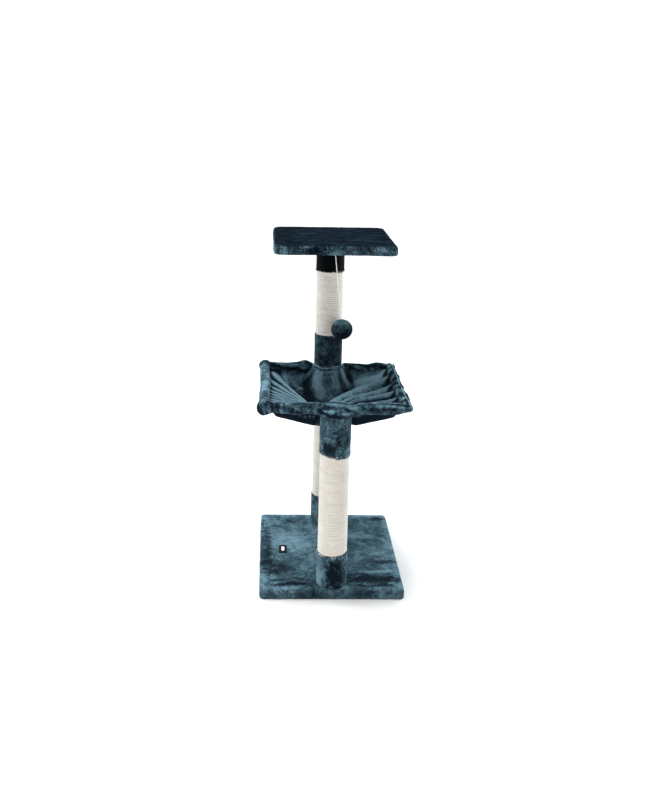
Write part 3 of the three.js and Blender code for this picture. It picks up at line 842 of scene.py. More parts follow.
def settle_base(points, normals):
    """Brushed relief, a soft rolled edge and two long wrinkles near the front."""
    x, y, z = points.T
    lift = sizes().pile_relief * (1.3 * layered(points, 0.05, 21) + 0.5 * layered(points, 0.014, 25))
    near_post = hump(np.hypot(x, np.abs(y) - POST_Y), SLEEVE_RADIUS, 0.012)
    wander = 0.006 * relief(np.stack([x, 0 * x, 0 * x], 1), 0.045, 31)
    top = ease(z, BASE_HIGH.z - 0.006, BASE_HIGH.z - 0.001)
    for line, start, end, height in ((BASE_LOW.y + 0.036, -0.15, -0.03, 0.0022),
                                     (BASE_LOW.y + 0.030, 0.045, 0.165, 0.0020),
                                     (BASE_LOW.y + 0.085, 0.06, 0.17, 0.0014)):
        along = ease(x, start, start + 0.03) * (1 - ease(x, end - 0.03, end))
        lift += top * along * height * (hump(y, line + wander, 0.006)
                                        - 0.7 * hump(y, line + wander - 0.011, 0.006))
    side = 1 - top
    lift += side * 0.0010 * layered(points * [1, 1, 0.4], 0.035, 41)
    moved = points + normals * (lift * (1 - 0.8 * near_post))[:, None]
    moved[:, 2] = np.maximum(moved[:, 2], 0.0002)
    return moved


def settle_lookout(points, normals):
    """Thicker, rounder plush with a sagging front right corner and a gathered front edge."""
    x, y, z = points.T
    lift = sizes().pile_relief * (1.5 * layered(points, 0.045, 51) + 0.7 * layered(points, 0.013, 55))
    side = 1 - ease(z, TOP_HIGH.z - 0.006, TOP_HIGH.z - 0.001)
    lift += side * 0.0016 * layered(points * [1, 1, 0.5], 0.03, 57)
    corner = np.exp(-((x - TOP_HIGH.x) ** 2 + (y - TOP_LOW.y) ** 2) / 0.045 ** 2)
    lift += side * corner * 0.004
    gather = side * hump(x, -0.045, 0.045) * hump(y, TOP_LOW.y, 0.02)
    lift -= gather * 0.0024
    moved = points + normals * lift[:, None]
    lower = ease(z, TOP_HIGH.z - 0.008, TOP_LOW.z)
    moved[:, 2] -= lower * corner * 0.0026
    moved[:, 2] -= lower * 0.0012 * (1 + relief(points * [1, 1, 0], 0.06, 61))
    return moved


def build_sleeve(name, node, laps_over, flap=False, seed=0):
    """A plush sleeve glued round a post.

    laps_over is 1 where its top laps over sisal, -1 where its bottom does. A flap is a
    loose end of the cloth at the front that hangs a little lower than the rest.
    """
    low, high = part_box(node)
    centre_y = (low.y + high.y) / 2
    lip = sizes().sleeve_lip
    sides, rows = 150, max(int((high.z - low.z) / 0.0028), 14)
    angles = np.linspace(0, 2 * math.pi, sides, endpoint=False)
    seam = math.radians(-92 if flap else 97)
    past_seam = np.mod(angles - seam, 2 * math.pi)
    overlap = 0.0011 * (1 - ease(past_seam, 0.0, 1.9)) * ease(past_seam, 0.0, 0.05)
    drop = 0.0050 * (1 - ease(past_seam, 1.5, 2.6)) * ease(past_seam, 0.0, 0.03) if flap else 0.0
    wave = np.stack([np.cos(angles), np.sin(angles), 0 * angles], axis=1)
    ragged = 0.0007 * layered(wave, 0.35, seed + 5)
    bottom, top = low.z, high.z
    inner, outer = TUBE_RADIUS + 0.0003, SLEEVE_RADIUS - 0.0002
    lapped = SISAL_RADIUS + 0.0002
    round_over = 0.0016

    profile = []
    for share in np.linspace(0, 1, rows):
        profile.append((outer, bottom + round_over + (top - bottom - 2 * round_over) * share))
    profile += [(outer - round_over * 0.3, top - round_over * 0.3), (outer - round_over, top)]
    if laps_over > 0:
        profile += [(lapped, top), (lapped, top - lip), (inner, top - lip - 0.0006)]
    else:
        profile += [(inner, top)]
    if laps_over < 0:
        profile += [(inner, bottom + lip + 0.0006), (lapped, bottom + lip), (lapped, bottom)]
    else:
        profile += [(inner, bottom)]
    profile += [(outer - round_over, bottom), (outer - round_over * 0.3, bottom + round_over * 0.3)]

    rings = []
    for radius, height in profile:
        outside = radius > lapped + 0.0003
        radii = radius + (overlap if outside else 0) + np.zeros(sides)
        free_edge = (ease(height, top - 0.012, top) if laps_over > 0
                     else -(1 - ease(height, bottom, bottom + 0.012)) * (laps_over < 0))
        rise = height + ragged * free_edge - (drop * abs(min(free_edge, 0)))
        rings.append(np.stack([np.cos(angles) * radii, centre_y + np.sin(angles) * radii,
                               rise + np.zeros(sides)], axis=1))
    faces = grid_faces(len(rings), sides, closed_rows=True, closed_columns=True)
    sleeve = mesh_piece(name, np.concatenate(rings), faces)
    points = points_of(sleeve)
    across = np.hypot(points[:, 0], points[:, 1] - centre_y)
    grain = 0.5 * layered(points, 0.024, seed) + 0.5 * relief(points, sizes().pile_grain, seed + 3)
    lift = sizes().pile_relief * 0.7 * grain * ease(across, lapped, outer)
    outward = points - np.stack([0 * across, centre_y + 0 * across, points[:, 2]], axis=1)
    move_points(sleeve, points + outward / across[:, None] * lift[:, None])
    return sleeve


def build_windings(name, node, seed):
    """Sisal rope wound round a post, one turn against the next."""
    low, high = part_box(node)
    centre_y = (low.y + high.y) / 2
    pitch, depth = sizes().rope_pitch, sizes().rope_depth
    start = low.z - sizes().sleeve_lip + pitch * 0.6
    end = high.z + sizes().sleeve_lip - pitch * 0.6
    per_turn, sides = 44, 10
    steps = int((end - start) / pitch * per_turn)
    turn = np.arange(steps) / per_turn
    angle = 2 * math.pi * turn + seed
    along = np.stack([turn * 9.0, np.full(steps, seed * 1.7), 0 * turn], axis=1)
    thick = depth / 2 * (1 + 0.05 * relief(along, 1.0, 71) + 0.03 * relief(along, 0.3, 72))
    height = start + pitch * turn + pitch * 0.05 * relief(along, 2.4, 73)
    distance = SISAL_RADIUS - depth / 2 + 0.0002 * relief(along, 1.6, 74)
    section = np.linspace(0, 2 * math.pi, sides, endpoint=False)
    rings = np.empty((steps, sides, 3))
    reach = distance[:, None] + thick[:, None] * np.cos(section)
    rings[:, :, 0] = np.cos(angle)[:, None] * reach
    rings[:, :, 1] = centre_y + np.sin(angle)[:, None] * reach
    rings[:, :, 2] = height[:, None] + pitch * 0.50 * np.sin(section) * (thick / (depth / 2))[:, None]
    points, faces = capped_tube(rings)
    scatter = np.random.default_rng(80 + seed)
    for edge, rising, count in ((low.z, -1, STRANDS_BELOW), (high.z, 1, STRANDS_ABOVE[seed])):
        roots = scatter.uniform(0, 2 * math.pi, count)
        for root, long, lean in zip(roots, scatter.uniform(*STRAND_REACH, count),
                                    scatter.normal(0, 0.06, count)):
            strand = frayed_strand(root, root + lean, centre_y, edge, rising * long)
            faces += [tuple(v + len(points) for v in face) for face in STRAND_FACES]
            points = np.concatenate([points, strand])
    return mesh_piece(name, points, faces)


# A strand is a thin bent spike: three corners at its foot, three at its bend, and a tip.
STRAND_FACES = ((0, 2, 1), (0, 1, 4, 3), (1, 2, 5, 4), (2, 0, 3, 5), (3, 4, 6), (4, 5, 6), (5, 3, 6))


def frayed_strand(foot_turn, tip_turn, centre_y, edge, rise):
    """The points of one loose strand that lies over the edge of a sleeve."""
    def place(turn, radius, height):
        return np.array([math.cos(turn) * radius, centre_y + math.sin(turn) * radius, height])

    foot = place(foot_turn, SISAL_RADIUS - 0.0008, edge - math.copysign(0.0016, rise))
    bend = place((foot_turn + tip_turn) / 2, SLEEVE_RADIUS + 0.0018, edge + rise * 0.2)
    tip = place(tip_turn, SLEEVE_RADIUS + 0.0022, edge + rise)
    outward = place(foot_turn, 1.0, 0.0) - [0, centre_y, 0]
    along = np.array([-outward[1], outward[0], 0.0])
    wide = 0.0006
    ring = [along * wide, (outward - along) * wide * 0.7, -(outward + along) * wide * 0.7]
    return np.array([foot + r for r in ring] + [bend + r * 0.8 for r in ring] + [tip])


def lumpy(radius, seed, twist=40.0, crease=0.0009, lump=0.0016):
    """The surface of a stuffed roll: soft lumps, and creases that wind round it."""
    def surface(at, angles):
        length, angle = np.meshgrid(at, angles, indexing="ij")
        flat = np.stack([length.ravel(), np.cos(angle).ravel() * radius * 1.4,
                         np.sin(angle).ravel() * radius * 1.4], axis=1)
        lumps = layered(flat, 0.030, seed).reshape(length.shape)
        wander = 2.2 * layered(flat, 0.05, seed + 5).reshape(length.shape)
        folds = np.cos(3 * angle + twist * length + wander)
        return radius + lump * lumps + crease * folds
    return surface


def build_front_roll():
    """The front roll, with a stuffed knob at its left end and cloth drawn over the post."""
    ends = BAR_X
    plain = lumpy(sizes().roll_radius, 101, twist=55.0)

    def surface(at, angles):
        x = at - ends
        knob = 0.0062 * hump(x, -ends - 0.002, 0.014) - 0.0018 * hump(x, -ends + 0.028, 0.010)
        point = -0.0042 * ease(x, ends - 0.020, ends + 0.004)
        middle = 0.0036 * hump(x, 0.002, 0.036)
        seam = (0.0013 * hump(angles, math.radians(95), 0.16)
                - 0.0012 * hump(angles, math.radians(118), 0.16))
        creases = 0.0009 * np.cos(6 * angles[None, :] + 16 * x[:, None]) * ease(x, 0.05, 0.15)[:, None]
        return plain(at, angles) + (knob + point + middle)[:, None] + seam + creases

    roll = roll_along("hammock_front_roll_plush", [
        (-ends, -POST_Y, BAR_Z), (-0.055, -POST_Y, BAR_Z - 0.001),
        (-0.022, -POST_Y - 0.007, BAR_Z - 0.003), (0.026, -POST_Y - 0.009, BAR_Z - 0.004),
        (0.060, -POST_Y, BAR_Z - 0.001),
        (ends + 0.004, -POST_Y, BAR_Z + 0.0005)], surface)

    # The cloth drawn over the post's top, with gathers that sweep round it.
    rows, sides = 30, 110
    turn = np.linspace(0, 2 * math.pi, sides, endpoint=False)
    rings = []
    for tilt in np.linspace(-1.42, 1.42, rows):
        reach = abs(math.cos(tilt)) ** 0.68
        sweep = 0.0020 * np.cos(6.0 * tilt + 2.0 * turn + 0.7) + 0.0011 * np.cos(3 * turn - 11 * tilt)
        across = (SLEEVE_RADIUS + 0.0040 + sweep) * reach
        height = POST_TOP + 0.0065 + 0.0155 * math.sin(tilt) + 0.0020 * np.cos(turn + 0.9) * (tilt < 0)
        rings.append(np.stack([np.cos(turn) * across * 1.02, -POST_Y + np.sin(turn) * across,
                               height + 0 * turn], axis=1))
    wrap = mesh_piece("front_wrap", *capped_tube(rings))
    bpy.context.view_layer.update()
    joined = np.concatenate([points_of(roll), points_of(wrap)])
    first = len(roll.data.vertices)
    faces = [tuple(p.vertices) for p in roll.data.polygons]
    faces += [tuple(v + first for v in p.vertices) for p in wrap.data.polygons]
    for part in (roll, wrap):
        bpy.data.objects.remove(part)
    whole = remeshed(mesh_piece("hammock_front_roll_plush", joined, faces), 0.0026)

    points = points_of(whole)
    x, _, z = points.T
    swirl = np.cos(150 * (z - BAR_Z) + 46 * x + 1.6 * relief(points, 0.025, 111))
    folded = hump(x, 0.008, 0.036) * 0.0014 * swirl
    pucker = hump(x, -0.14, 0.03) * 0.0005 * np.cos(420 * x + 60 * z)
    move_points(whole, points + normals_of(whole) * (folded + pucker)[:, None])
    raise_pile(whole, sizes().pile_relief, sizes().pile_grain, seed=115, lump=0.016)
    mark_crests(whole, 30, 0.0022, most=0.6)
    return whole


def build_side_roll(side):
    """A side roll. The left one ends in a knob behind; the right one is puckered."""
    left = side < 0
    plain = lumpy(sizes().roll_radius - 0.0006, 121 if left else 131,
                  twist=30.0 if left else 75.0, crease=0.0006 if left else 0.0014)
    start, end = -POST_Y + 0.006, POST_Y - 0.001

    def surface(at, angles):
        y = at + start
        knob = (0.0030 if left else -0.0012) * hump(y, end, 0.016)
        neck = -0.0022 * hump(y, end - 0.030, 0.011)
        if left:
            return plain(at, angles) + (knob + neck)[:, None]
        groove = -0.0042 * hump(angles, math.radians(66), 0.20)
        inner = ease(angles, math.radians(70), math.radians(110)) * (angles < math.radians(200))
        bulbs = 0.0026 * np.cos(150 * y + 1.4 * np.sin(40 * y))[:, None] * inner
        return plain(at, angles) + (knob + neck)[:, None] + groove + bulbs

    bow = 0.0025 * side
    route = [(side * BAR_X, start, BAR_Z), (side * BAR_X - bow, 0.0, BAR_Z - 0.0008),
             (side * BAR_X, end, BAR_Z + (0.0025 if left else 0.0))]
    name = "hammock_left_roll_plush" if left else "hammock_right_roll_plush"
    roll = roll_along(name, route, surface)
    with_modifiers(roll, ("SUBSURF", {"levels": 1}))
    raise_pile(roll, sizes().pile_relief, sizes().pile_grain, seed=125, lump=0.014)
    mark_crests(roll, 60, 0.0018)
    return roll


def build_rear_roll():
    """The rear roll: it comes round the front of the rear post in a thinner collar."""
    plain = lumpy(sizes().rear_roll_radius, 141, twist=60.0, crease=0.0011, lump=0.0022)
    around = SLEEVE_RADIUS + 0.0040
    bend = [(around * math.cos(a), POST_Y + around * math.sin(a), BAR_Z + 0.0065 + 0.0016 * math.cos(5 * a))
            for a in np.linspace(math.radians(190), math.radians(350), 15)]
    route = [(-BAR_X, POST_Y, BAR_Z + 0.003), (-0.11, POST_Y, BAR_Z + 0.001),
             (-0.058, POST_Y + 0.001, BAR_Z + 0.003), *bend,
             (0.058, POST_Y + 0.001, BAR_Z + 0.002), (0.085, POST_Y, BAR_Z - 0.001),
             (0.105, POST_Y, BAR_Z - 0.004), (0.128, POST_Y, BAR_Z + 0.003),
             (BAR_X, POST_Y, BAR_Z + 0.001)]
    whole = evenly(route, 0.0035)[1][-1]

    def surface(at, angles):
        collar = 1 - ease(np.abs(at - whole / 2), 0.050, 0.078)
        bunch = 0.0042 * hump(at, whole / 2 - 0.082, 0.013)
        return plain(at, angles) - (0.0042 * collar - bunch)[:, None]

    roll = roll_along("hammock_rear_roll_plush", route, surface)
    roll = remeshed(roll, 0.0022)
    raise_pile(roll, sizes().pile_relief * 0.9, sizes().pile_grain, seed=145, lump=0.012)
    mark_crests(roll, 40, 0.0018)
    return roll


def fullness(share):
    """How much of its full depth a hung cloth has, from 1 in the middle to 0 at its edges."""
    return np.maximum(np.cos(np.clip(share, -1, 1) * math.pi / 2), 0) ** 0.7


def round_apex(x, y, apex):
    """The direction in degrees, and the distance, of each point from the apex of a fan."""
    angle = np.degrees(np.arctan2(y - apex[1], x - apex[0]))
    return np.mod(angle, 360), np.hypot(x - apex[0], y - apex[1])


def left_flank(x, y):
    """Narrow pleats that fan from the left roll to the front post: depth, and where it is."""
    angle, reach = round_apex(x, y, LEFT_APEX)
    ridge = 0.5 + 0.5 * np.cos(math.radians(360) * (angle - LEFT_EDGE_ANGLE) / PLEAT_ANGLE)
    depth = 0.008 + 0.009 * ease(x, -0.150, -0.070)
    depth += sizes().pleat_height * (1 - ridge ** 0.8) * ease(reach, 0.008, 0.050)
    inside = ease(angle, LEFT_EDGE_ANGLE - 9, LEFT_EDGE_ANGLE + 1) * (x < LEFT_APEX[0] + 0.02)
    near_apex = (1 - ease(x, -0.030, 0.0)) * (1 - ease(y, LEFT_APEX[1] - 0.01, LEFT_APEX[1] + 0.012))
    return depth, np.maximum(inside, near_apex)


def right_flank(x, y):
    """Wide folds that lap like shingles from the right roll to the front post."""
    angle, reach = round_apex(x, y, RIGHT_APEX)
    wander = 0.9 * relief(np.stack([x, y, 0 * x], axis=1), 0.05, 149)
    depth = np.interp(angle + wander, *zip(*FOLD_DEPTHS))
    middle = 0.022
    depth = middle + (depth - middle) * (sizes().fold_height / FOLD_RISE) * ease(reach, 0.09, 0.21)
    inside = (1 - ease(angle, 46.5, 51.0)) * ease(reach, 0.085, 0.13)
    return depth, inside


def sling_height(x, y, half_x, half_y):
    """The hammock's cloth: a deep bowl between a pleated left flank and a folded right one."""
    to_edge = np.minimum(half_x - np.abs(x), half_y - np.abs(y))
    held = 1 - (1 - np.clip(to_edge / 0.018, 0, 1)) ** 3
    depth = sizes().sling_depth * fullness(x / half_x) * fullness(y / half_y)
    for flank in (left_flank, right_flank):
        shallow, inside = flank(x, y)
        depth += (shallow * held - depth) * inside
    hollow = (0.062 - 0.25 * np.abs(x)) * held * np.clip((half_x - np.abs(x)) / 0.022, 0, 1)
    behind_front = y + half_y
    valley = ease(behind_front, 0.0, 0.022) * (1 - ease(behind_front, 0.040, 0.062))
    depth = np.maximum(depth, hollow * valley)
    return BAR_Z - 0.002 - depth


def smooth_larger(first, second, softness):
    """The larger of two heights, with the step between them rounded off."""
    gap = np.clip(0.5 + 0.5 * (first - second) / softness, 0, 1)
    return second + (first - second) * gap + softness * gap * (1 - gap)


def build_sling():
    """One sheet of plush hung between the rolls, drawn over the front post."""
    half_x, half_y = BAR_X - SLING_INSET[0], POST_Y - SLING_INSET[1]
    columns, rows = 170, 160
    x, y = [grid.ravel() for grid in np.meshgrid(
        np.linspace(-half_x, half_x, columns), np.linspace(-half_y, half_y, rows))]
    height = sling_height(x, y, half_x, half_y)
    to_front = np.hypot(x, y + POST_Y)
    over_post = POST_TOP + 0.0035 - np.maximum(to_front - SLEEVE_RADIUS - 0.002, 0) * 3.0
    height = smooth_larger(over_post, height, 0.012)
    to_rear = np.hypot(x, y - POST_Y)
    collar = BAR_Z + 0.005 - np.maximum(to_rear - SLEEVE_RADIUS - 0.004, 0) * 1.7
    around = np.arctan2(y - POST_Y, x)
    swag = 0.0026 * np.cos(9.0 * around + 1.4 * np.cos(2.6 * around)) * hump(to_rear, 0.058, 0.02)
    height = smooth_larger(collar, height, 0.016) + swag
    flat = np.stack([x, y, 0 * x], axis=1)
    inward = fullness(x / half_x * 0.98) * fullness(y / half_y * 0.98)
    height += inward * (0.0032 * layered(flat, 0.055, 151) + 0.0012 * layered(flat, 0.018, 155))
    back_swag = hump(y, half_y - 0.030, 0.011) * ease(x, 0.05, 0.075) * (1 - ease(x, 0.13, 0.15))
    height += 0.0035 * back_swag

    faces = grid_faces(rows, columns)
    sling = mesh_piece("hammock_sling_plush", np.stack([x, y, height], axis=1), faces)
    rear_post = Vector((0, POST_Y))
    cut_away(sling, lambda face: (
        face.calc_center_median().xy - rear_post).length < SLEEVE_RADIUS + 0.003)
    mark_crests(sling, 60, 0.0021)
    with_modifiers(
        sling,
        ("SMOOTH", {"factor": 0.5, "iterations": 2}),
        ("SOLIDIFY", {"thickness": sizes().cloth_thickness, "offset": -1.0}),
        ("SUBSURF", {"levels": 1}))
    raise_pile(sling, sizes().pile_relief * 0.8, sizes().pile_grain, seed=157, lump=0.02)
    return sling


def build_label():
    """A woven label with folded ends, and its plain oblong mark."""
    low, high = LABEL_LOW, LABEL_HIGH
    centre = (low + high) / 2
    columns, rows = 26, 50
    u, v = np.meshgrid(np.linspace(-1, 1, columns), np.linspace(-1, 1, rows))
    u, v = u.ravel(), v.ravel()
    x = centre.x + u * (high.x - low.x) / 2
    y = centre.y + v * (high.y - low.y) / 2
    curl = 0.0006 * (np.abs(u) ** 6 + np.abs(v) ** 8)
    weave = 0.00005 * np.cos(u * 60) * np.cos(v * 110)
    z = high.z + 0.0004 - curl + weave + 0.0002 * relief(np.stack([x, y, 0 * x], 1), 0.012, 161)
    label = mesh_piece("woven_label_cloth", np.stack([x, y, z], axis=1), grid_faces(rows, columns))
    with_modifiers(label, ("SOLIDIFY", {"thickness": 0.0007, "offset": -1.0}))

    turn = np.linspace(0, 2 * math.pi, 40, endpoint=False)
    mark_rings = []
    for size, rise in ((1.0, 0.00045), (1.0, 0.00075), (0.86, 0.00088), (0.4, 0.0009)):
        mark_rings.append(np.stack([
            centre.x + np.sign(np.cos(turn)) * np.abs(np.cos(turn)) ** 0.5 * MARK_HALF_WIDTH * size,
            centre.y + np.sign(np.sin(turn)) * np.abs(np.sin(turn)) ** 0.5 * MARK_HALF_LENGTH * size,
            high.z + rise + 0 * turn], axis=1))
    mark = mesh_piece("woven_label_mark", *capped_tube(mark_rings))
    return label, mark


def build_stage():
    """A wide white floor."""
    steps = 25
    across = np.linspace(-FLOOR_REACH, FLOOR_REACH, steps)
    x, y = [grid.ravel() for grid in np.meshgrid(across, across)]
    floor = mesh_piece("studio_floor", np.stack([x, y, 0 * x - FLOOR_DROP], axis=1),
                       grid_faces(steps, steps))
    nodes = Nodes("studio_paper")
    grain = nodes.noise(30.0, 3.0)
    colour = nodes.ramp(grain, [(0.3, (0.64, 0.64, 0.64)), (0.7, (0.67, 0.67, 0.67))])
    floor.data.materials.append(nodes.surface(colour, roughness=0.9, specular_ior_level=0.1))


def add_light(name, place, size, power, colour=(1, 1, 1)):
    """A square area light that faces the middle of the tree."""
    light = bpy.data.lights.new(name, "AREA")
    light.size = size
    light.energy = power
    light.color = colour
    lamp = bpy.data.objects.new(name, light)
    lamp.location = place
    lamp.rotation_euler = (Vector(LIGHT_AIM) - Vector(place)).to_track_quat("-Z", "Y").to_euler()
    bpy.context.scene.collection.objects.link(lamp)


def add_overhead_light():
    """A broad soft light from above, a little behind the tree and to its left."""
    light = bpy.data.lights.new("overhead", "SUN")
    light.angle = math.radians(SUN_SPREAD)
    light.energy = SUN_POWER
    lamp = bpy.data.objects.new("overhead", light)
    lamp.rotation_euler = Vector(SUN_DIRECTION).to_track_quat("-Z", "Y").to_euler()
    bpy.context.scene.collection.objects.link(lamp)


def add_sky():
    """White round the horizon and dimmer overhead."""
    world = bpy.data.worlds.new("studio")
    world.use_nodes = True
    tree = world.node_tree
    ways = tree.nodes.new("ShaderNodeTexCoord").outputs["Generated"]
    split = tree.nodes.new("ShaderNodeSeparateXYZ")
    rise = tree.nodes.new("ShaderNodeMapRange")
    rise.inputs["From Min"].default_value = 0.14
    rise.inputs["From Max"].default_value = 0.45
    rise.inputs["To Min"].default_value = HORIZON_LIGHT
    rise.inputs["To Max"].default_value = OVERHEAD_LIGHT
    tree.links.new(ways, split.inputs[0])
    tree.links.new(split.outputs["Z"], rise.inputs["Value"])
    tree.links.new(rise.outputs["Result"], tree.nodes["Background"].inputs["Strength"])
    tree.nodes["Background"].inputs["Color"].default_value = (1, 1, 1, 1)
    bpy.context.scene.world = world


def add_camera():
    """The camera: a little left of the tree, looking slightly down at it."""
    camera = bpy.data.cameras.new("view")
    camera.lens = LENS
    camera.sensor_width = SENSOR_WIDTH
    camera.shift_x, camera.shift_y = CAMERA_SHIFT
    stand = bpy.data.objects.new("view", camera)
    stand.location = CAMERA_PLACE
    stand.rotation_euler = [math.radians(a) for a in CAMERA_TURN]
    bpy.context.scene.collection.objects.link(stand)
    bpy.context.scene.camera = stand


# Operators

class CATTREE_OT_camera(bpy.types.Operator):
    """Places the camera"""
    bl_idname = "cattree.camera"
    bl_label = "Camera"

    def execute(self, context):
        add_camera()
        return {"FINISHED"}


class CATTREE_OT_toy(bpy.types.Operator):
    """Hangs the ball on its cord"""
    bl_idname = "cattree.toy"
    bl_label = "Ball and cord"

    def execute(self, context):
        white = grained_finish("white_cord", colours().cord, 2600.0, 0.0002, 0.10,
                               (1, 1, 0.4), roughness=0.7, sheen_weight=0.2)
        cord = build_cord()
        fasten(cord, white, "toy", ["toy_cord"])
        knot = fasten(build_knot(), white, "toy")
        ball = fasten(build_ball(), plush_finish(
            "ball_plush", BALL_LIGHT_AND_SHADE, patch=30.0, shift=-0.03, offset=(0.3, 0.1, 0.2)),
            "toy", ["toy_ball_cover"])
        cover(frame["nodes"]["toy_cord_loop"], white)
        smooth(frame["nodes"]["toy_cord_loop"])
        return {"FINISHED"}


class CATTREE_OT_stage(bpy.types.Operator):
    """Lays the floor and sets the lights"""
    bl_idname = "cattree.stage"
    bl_label = "Floor and lights"

    def execute(self, context):
        build_stage()
        add_light("fill_front", (-0.8, -2.2, 1.2), 1.6, 9)
        add_light("rim_left", (-1.7, 0.9, 1.0), 0.9, 20, (0.84, 0.94, 1.0))
        add_light("rim_right", (1.6, 0.9, 0.9), 0.8, 28, (0.80, 0.93, 1.0))
        add_overhead_light()
        add_sky()
        context.scene.view_settings.view_transform = "Standard"
        return {"FINISHED"}


class CATTREE_OT_platforms(bpy.types.Operator):
    """Wraps the base and the lookout in plush"""
    bl_idname = "cattree.platforms"
    bl_label = "Platform covers"

    def execute(self, context):
        floor_corner = Vector((BASE_LOW.x, BASE_LOW.y, 0.0))
        base = wrapped_slab("base_cover_plush", "base_board", floor_corner, BASE_HIGH,
                            BASE_CORNER, BASE_EDGE, settle_base)
        fasten(base, plush_finish("base_plush", BASE_PATCHES, patch=11.0, shift=0.02),
               replaces=["base_plush_cover"])
        top = wrapped_slab("lookout_cover_plush", "top_board", TOP_LOW - Vector((0, 0, LOOKOUT_SAG)),
                           TOP_HIGH, LOOKOUT_CORNER, LOOKOUT_EDGE, settle_lookout)
        fasten(top, lookout_finish(), replaces=["top_plush_cover"])
        return {"FINISHED"}


class CATTREE_OT_sleeves(bpy.types.Operator):
    """Glues a plush sleeve above and below each winding"""
    bl_idname = "cattree.sleeves"
    bl_label = "Post sleeves"

    def execute(self, context):
        post_plush = plush_finish("sleeve_plush", SLEEVE_PATCHES, patch=24.0, shift=-0.005,
                                  sheen=0.30, offset=(0.05, 0.02, 0.31), contrast=1.25)
        rear_plush = plush_finish("rear_sleeve_plush", patch=20.0, shift=-0.085, sheen=0.30,
                                  offset=(0.25, 0.02, 0.11), contrast=1.1)
        # The sleeve under the lookout gets near-black plush as painted shade
        shaded = grained_finish("shaded_sleeve_plush", colours().shadow_plush, 500.0, 0.001, 0.5,
                                roughness=0.9, sheen_weight=0.05, specular_ior_level=0.02)
        for seed, post in enumerate(("front_post", "rear_lower_post", "rear_upper_post")):
            for part, laps in (("lower_sleeve", 1), ("upper_sleeve", -1)):
                node = f"{post}_{part}"
                flap = node == "front_post_upper_sleeve"
                sleeve = build_sleeve(f"{node}_plush", node, laps, flap, seed * 13 + laps + 170)
                finish = rear_plush if post == "rear_upper_post" else post_plush
                if node == "rear_upper_post_upper_sleeve":
                    finish = shaded
                fasten(sleeve, finish, replaces=[node])
        return {"FINISHED"}


class CATTREE_OT_sisal(bpy.types.Operator):
    """Winds sisal rope round each post"""
    bl_idname = "cattree.sisal"
    bl_label = "Sisal windings"

    def execute(self, context):
        finish = sisal_finish()
        for seed, post in enumerate(("front_post", "rear_lower_post", "rear_upper_post")):
            node = f"{post}_sisal_wrap"
            fasten(build_windings(f"{node}_rope", node, seed), finish, replaces=[node])
        return {"FINISHED"}


class CATTREE_OT_hammock(bpy.types.Operator):
    """Hangs the sling and its padded rolls on the rod frame"""
    bl_idname = "cattree.hammock"
    bl_label = "Hammock"

    def execute(self, context):
        roll_plush = plush_finish("roll_plush", ROLL_PATCHES, patch=24.0, shift=-0.035,
                                  offset=(0.12, 0.33, 0.05), contrast=1.2)
        sling_plush = plush_finish("sling_plush", SLING_PATCHES, patch=15.0, shift=-0.02,
                                   offset=(0.42, 0.15, 0.25), contrast=1.05, underside_shade=0.34)
        front = fasten(build_front_roll(), roll_plush, replaces=["hammock_front_roll"])
        left = fasten(build_side_roll(-1), roll_plush, replaces=["hammock_left_roll"])
        right = fasten(build_side_roll(1), roll_plush, replaces=["hammock_right_roll"])
        rear = fasten(build_rear_roll(), roll_plush,
                      replaces=["hammock_rear_left_roll", "hammock_rear_right_roll"])
        sling = fasten(build_sling(), sling_plush, replaces=["hammock_sling"])
        return {"FINISHED"}


class CATTREE_OT_label(bpy.types.Operator):
    """Sews the label to the base"""
    bl_idname = "cattree.label"
    bl_label = "Label"

    def execute(self, context):
        black = grained_finish("label_weave", colours().label, 1800.0, 0.0002, 0.3,
                               (1, 0.3, 1), roughness=0.8, specular_ior_level=0.08)
        white = grained_finish("label_thread", colours().cord, 1800.0, 0.0002, 0.1,
                               (1, 0.3, 1), roughness=0.75)
        label, mark = build_label()
        fasten(label, black, replaces=["woven_label"])
        fasten(mark, white)
        return {"FINISHED"}


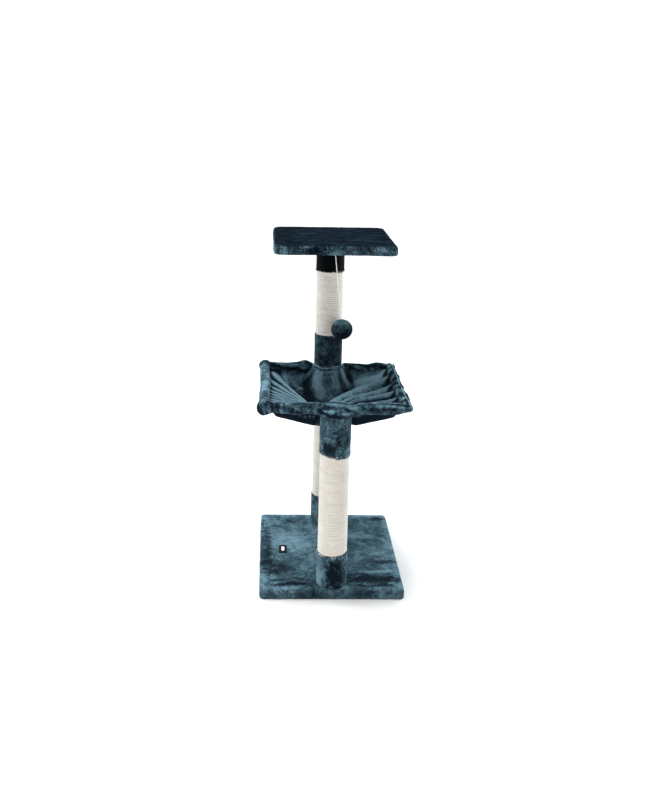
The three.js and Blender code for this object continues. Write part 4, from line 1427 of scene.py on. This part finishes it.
class CATTREE_OT_inner_pieces(bpy.types.Operator):
    """Finishes the boards, tubes, plugs, frame and fasteners"""
    bl_idname = "cattree.inner_pieces"
    bl_label = "Inner pieces"

    def execute(self, context):
        tones = colours()
        zinc = metal_finish("zinc_plate", tones.zinc, 1.0, 0.34)
        finishes = {
            "board": grained_finish("fibreboard", tones.board, 900.0, 0.0003, 0.22, roughness=0.85),
            "felt": grained_finish("felt", tones.felt, 700.0, 0.0006, 0.45, roughness=0.95,
                                   sheen_weight=0.05, specular_ior_level=0.02),
            "cardboard": grained_finish("wound_paper", tones.cardboard, 500.0, 0.0002, 0.15,
                                        (1, 1, 0.3), roughness=0.9),
            "plug_plastic": grained_finish("plug_plastic", tones.plastic, 900.0, 0.00008, 0.12,
                                           roughness=0.5),
            "foam": grained_finish("foam", tones.foam, 800.0, 0.0006, 0.12, roughness=0.95),
            "zinc_steel": zinc,
            "frame_steel": metal_finish("black_powder_coat", tones.black_steel, 0.2, 0.5),
        }
        slots = {s["node"]: s["material_slot"] for s in frame["record"]["subparts"]}
        for node, piece in frame["nodes"].items():
            if slots[node] in finishes:
                cover(piece, finishes[slots[node]])
        return {"FINISHED"}


class CATTREE_PT_panel(bpy.types.Panel):
    """Cat tree tools"""
    bl_idname = "CATTREE_PT_panel"
    bl_label = "Cat Tree"
    bl_space_type = "VIEW_3D"
    bl_region_type = "UI"
    bl_category = "Cat Tree"

    def draw(self, context):
        layout = self.layout
        for operator in OPERATORS:
            layout.operator(operator.bl_idname)
        for group in (context.scene.cat_tree_sizes, context.scene.cat_tree_colours):
            column = layout.column()
            for key in group.bl_rna.properties.keys():
                if key not in ("rna_type", "name"):
                    column.prop(group, key)


OPERATORS = (
    CATTREE_OT_camera,
    CATTREE_OT_toy,
    CATTREE_OT_stage,
    CATTREE_OT_platforms,
    CATTREE_OT_sleeves,
    CATTREE_OT_sisal,
    CATTREE_OT_hammock,
    CATTREE_OT_label,
    CATTREE_OT_inner_pieces,
)


def register():
    for group in (CatTreeSizes, CatTreeColours, *OPERATORS, CATTREE_PT_panel):
        bpy.utils.register_class(group)
    bpy.types.Scene.cat_tree_sizes = bpy.props.PointerProperty(type=CatTreeSizes)
    bpy.types.Scene.cat_tree_colours = bpy.props.PointerProperty(type=CatTreeColours)


def unregister():
    del bpy.types.Scene.cat_tree_colours
    del bpy.types.Scene.cat_tree_sizes
    for group in reversed((CatTreeSizes, CatTreeColours, *OPERATORS, CATTREE_PT_panel)):
        bpy.utils.unregister_class(group)


def main():
    register()
    for operator in OPERATORS:
        group, name = operator.bl_idname.split(".")
        getattr(getattr(bpy.ops, group), name)()
    bpy.context.view_layer.update()


if __name__ == "__main__":
    main()
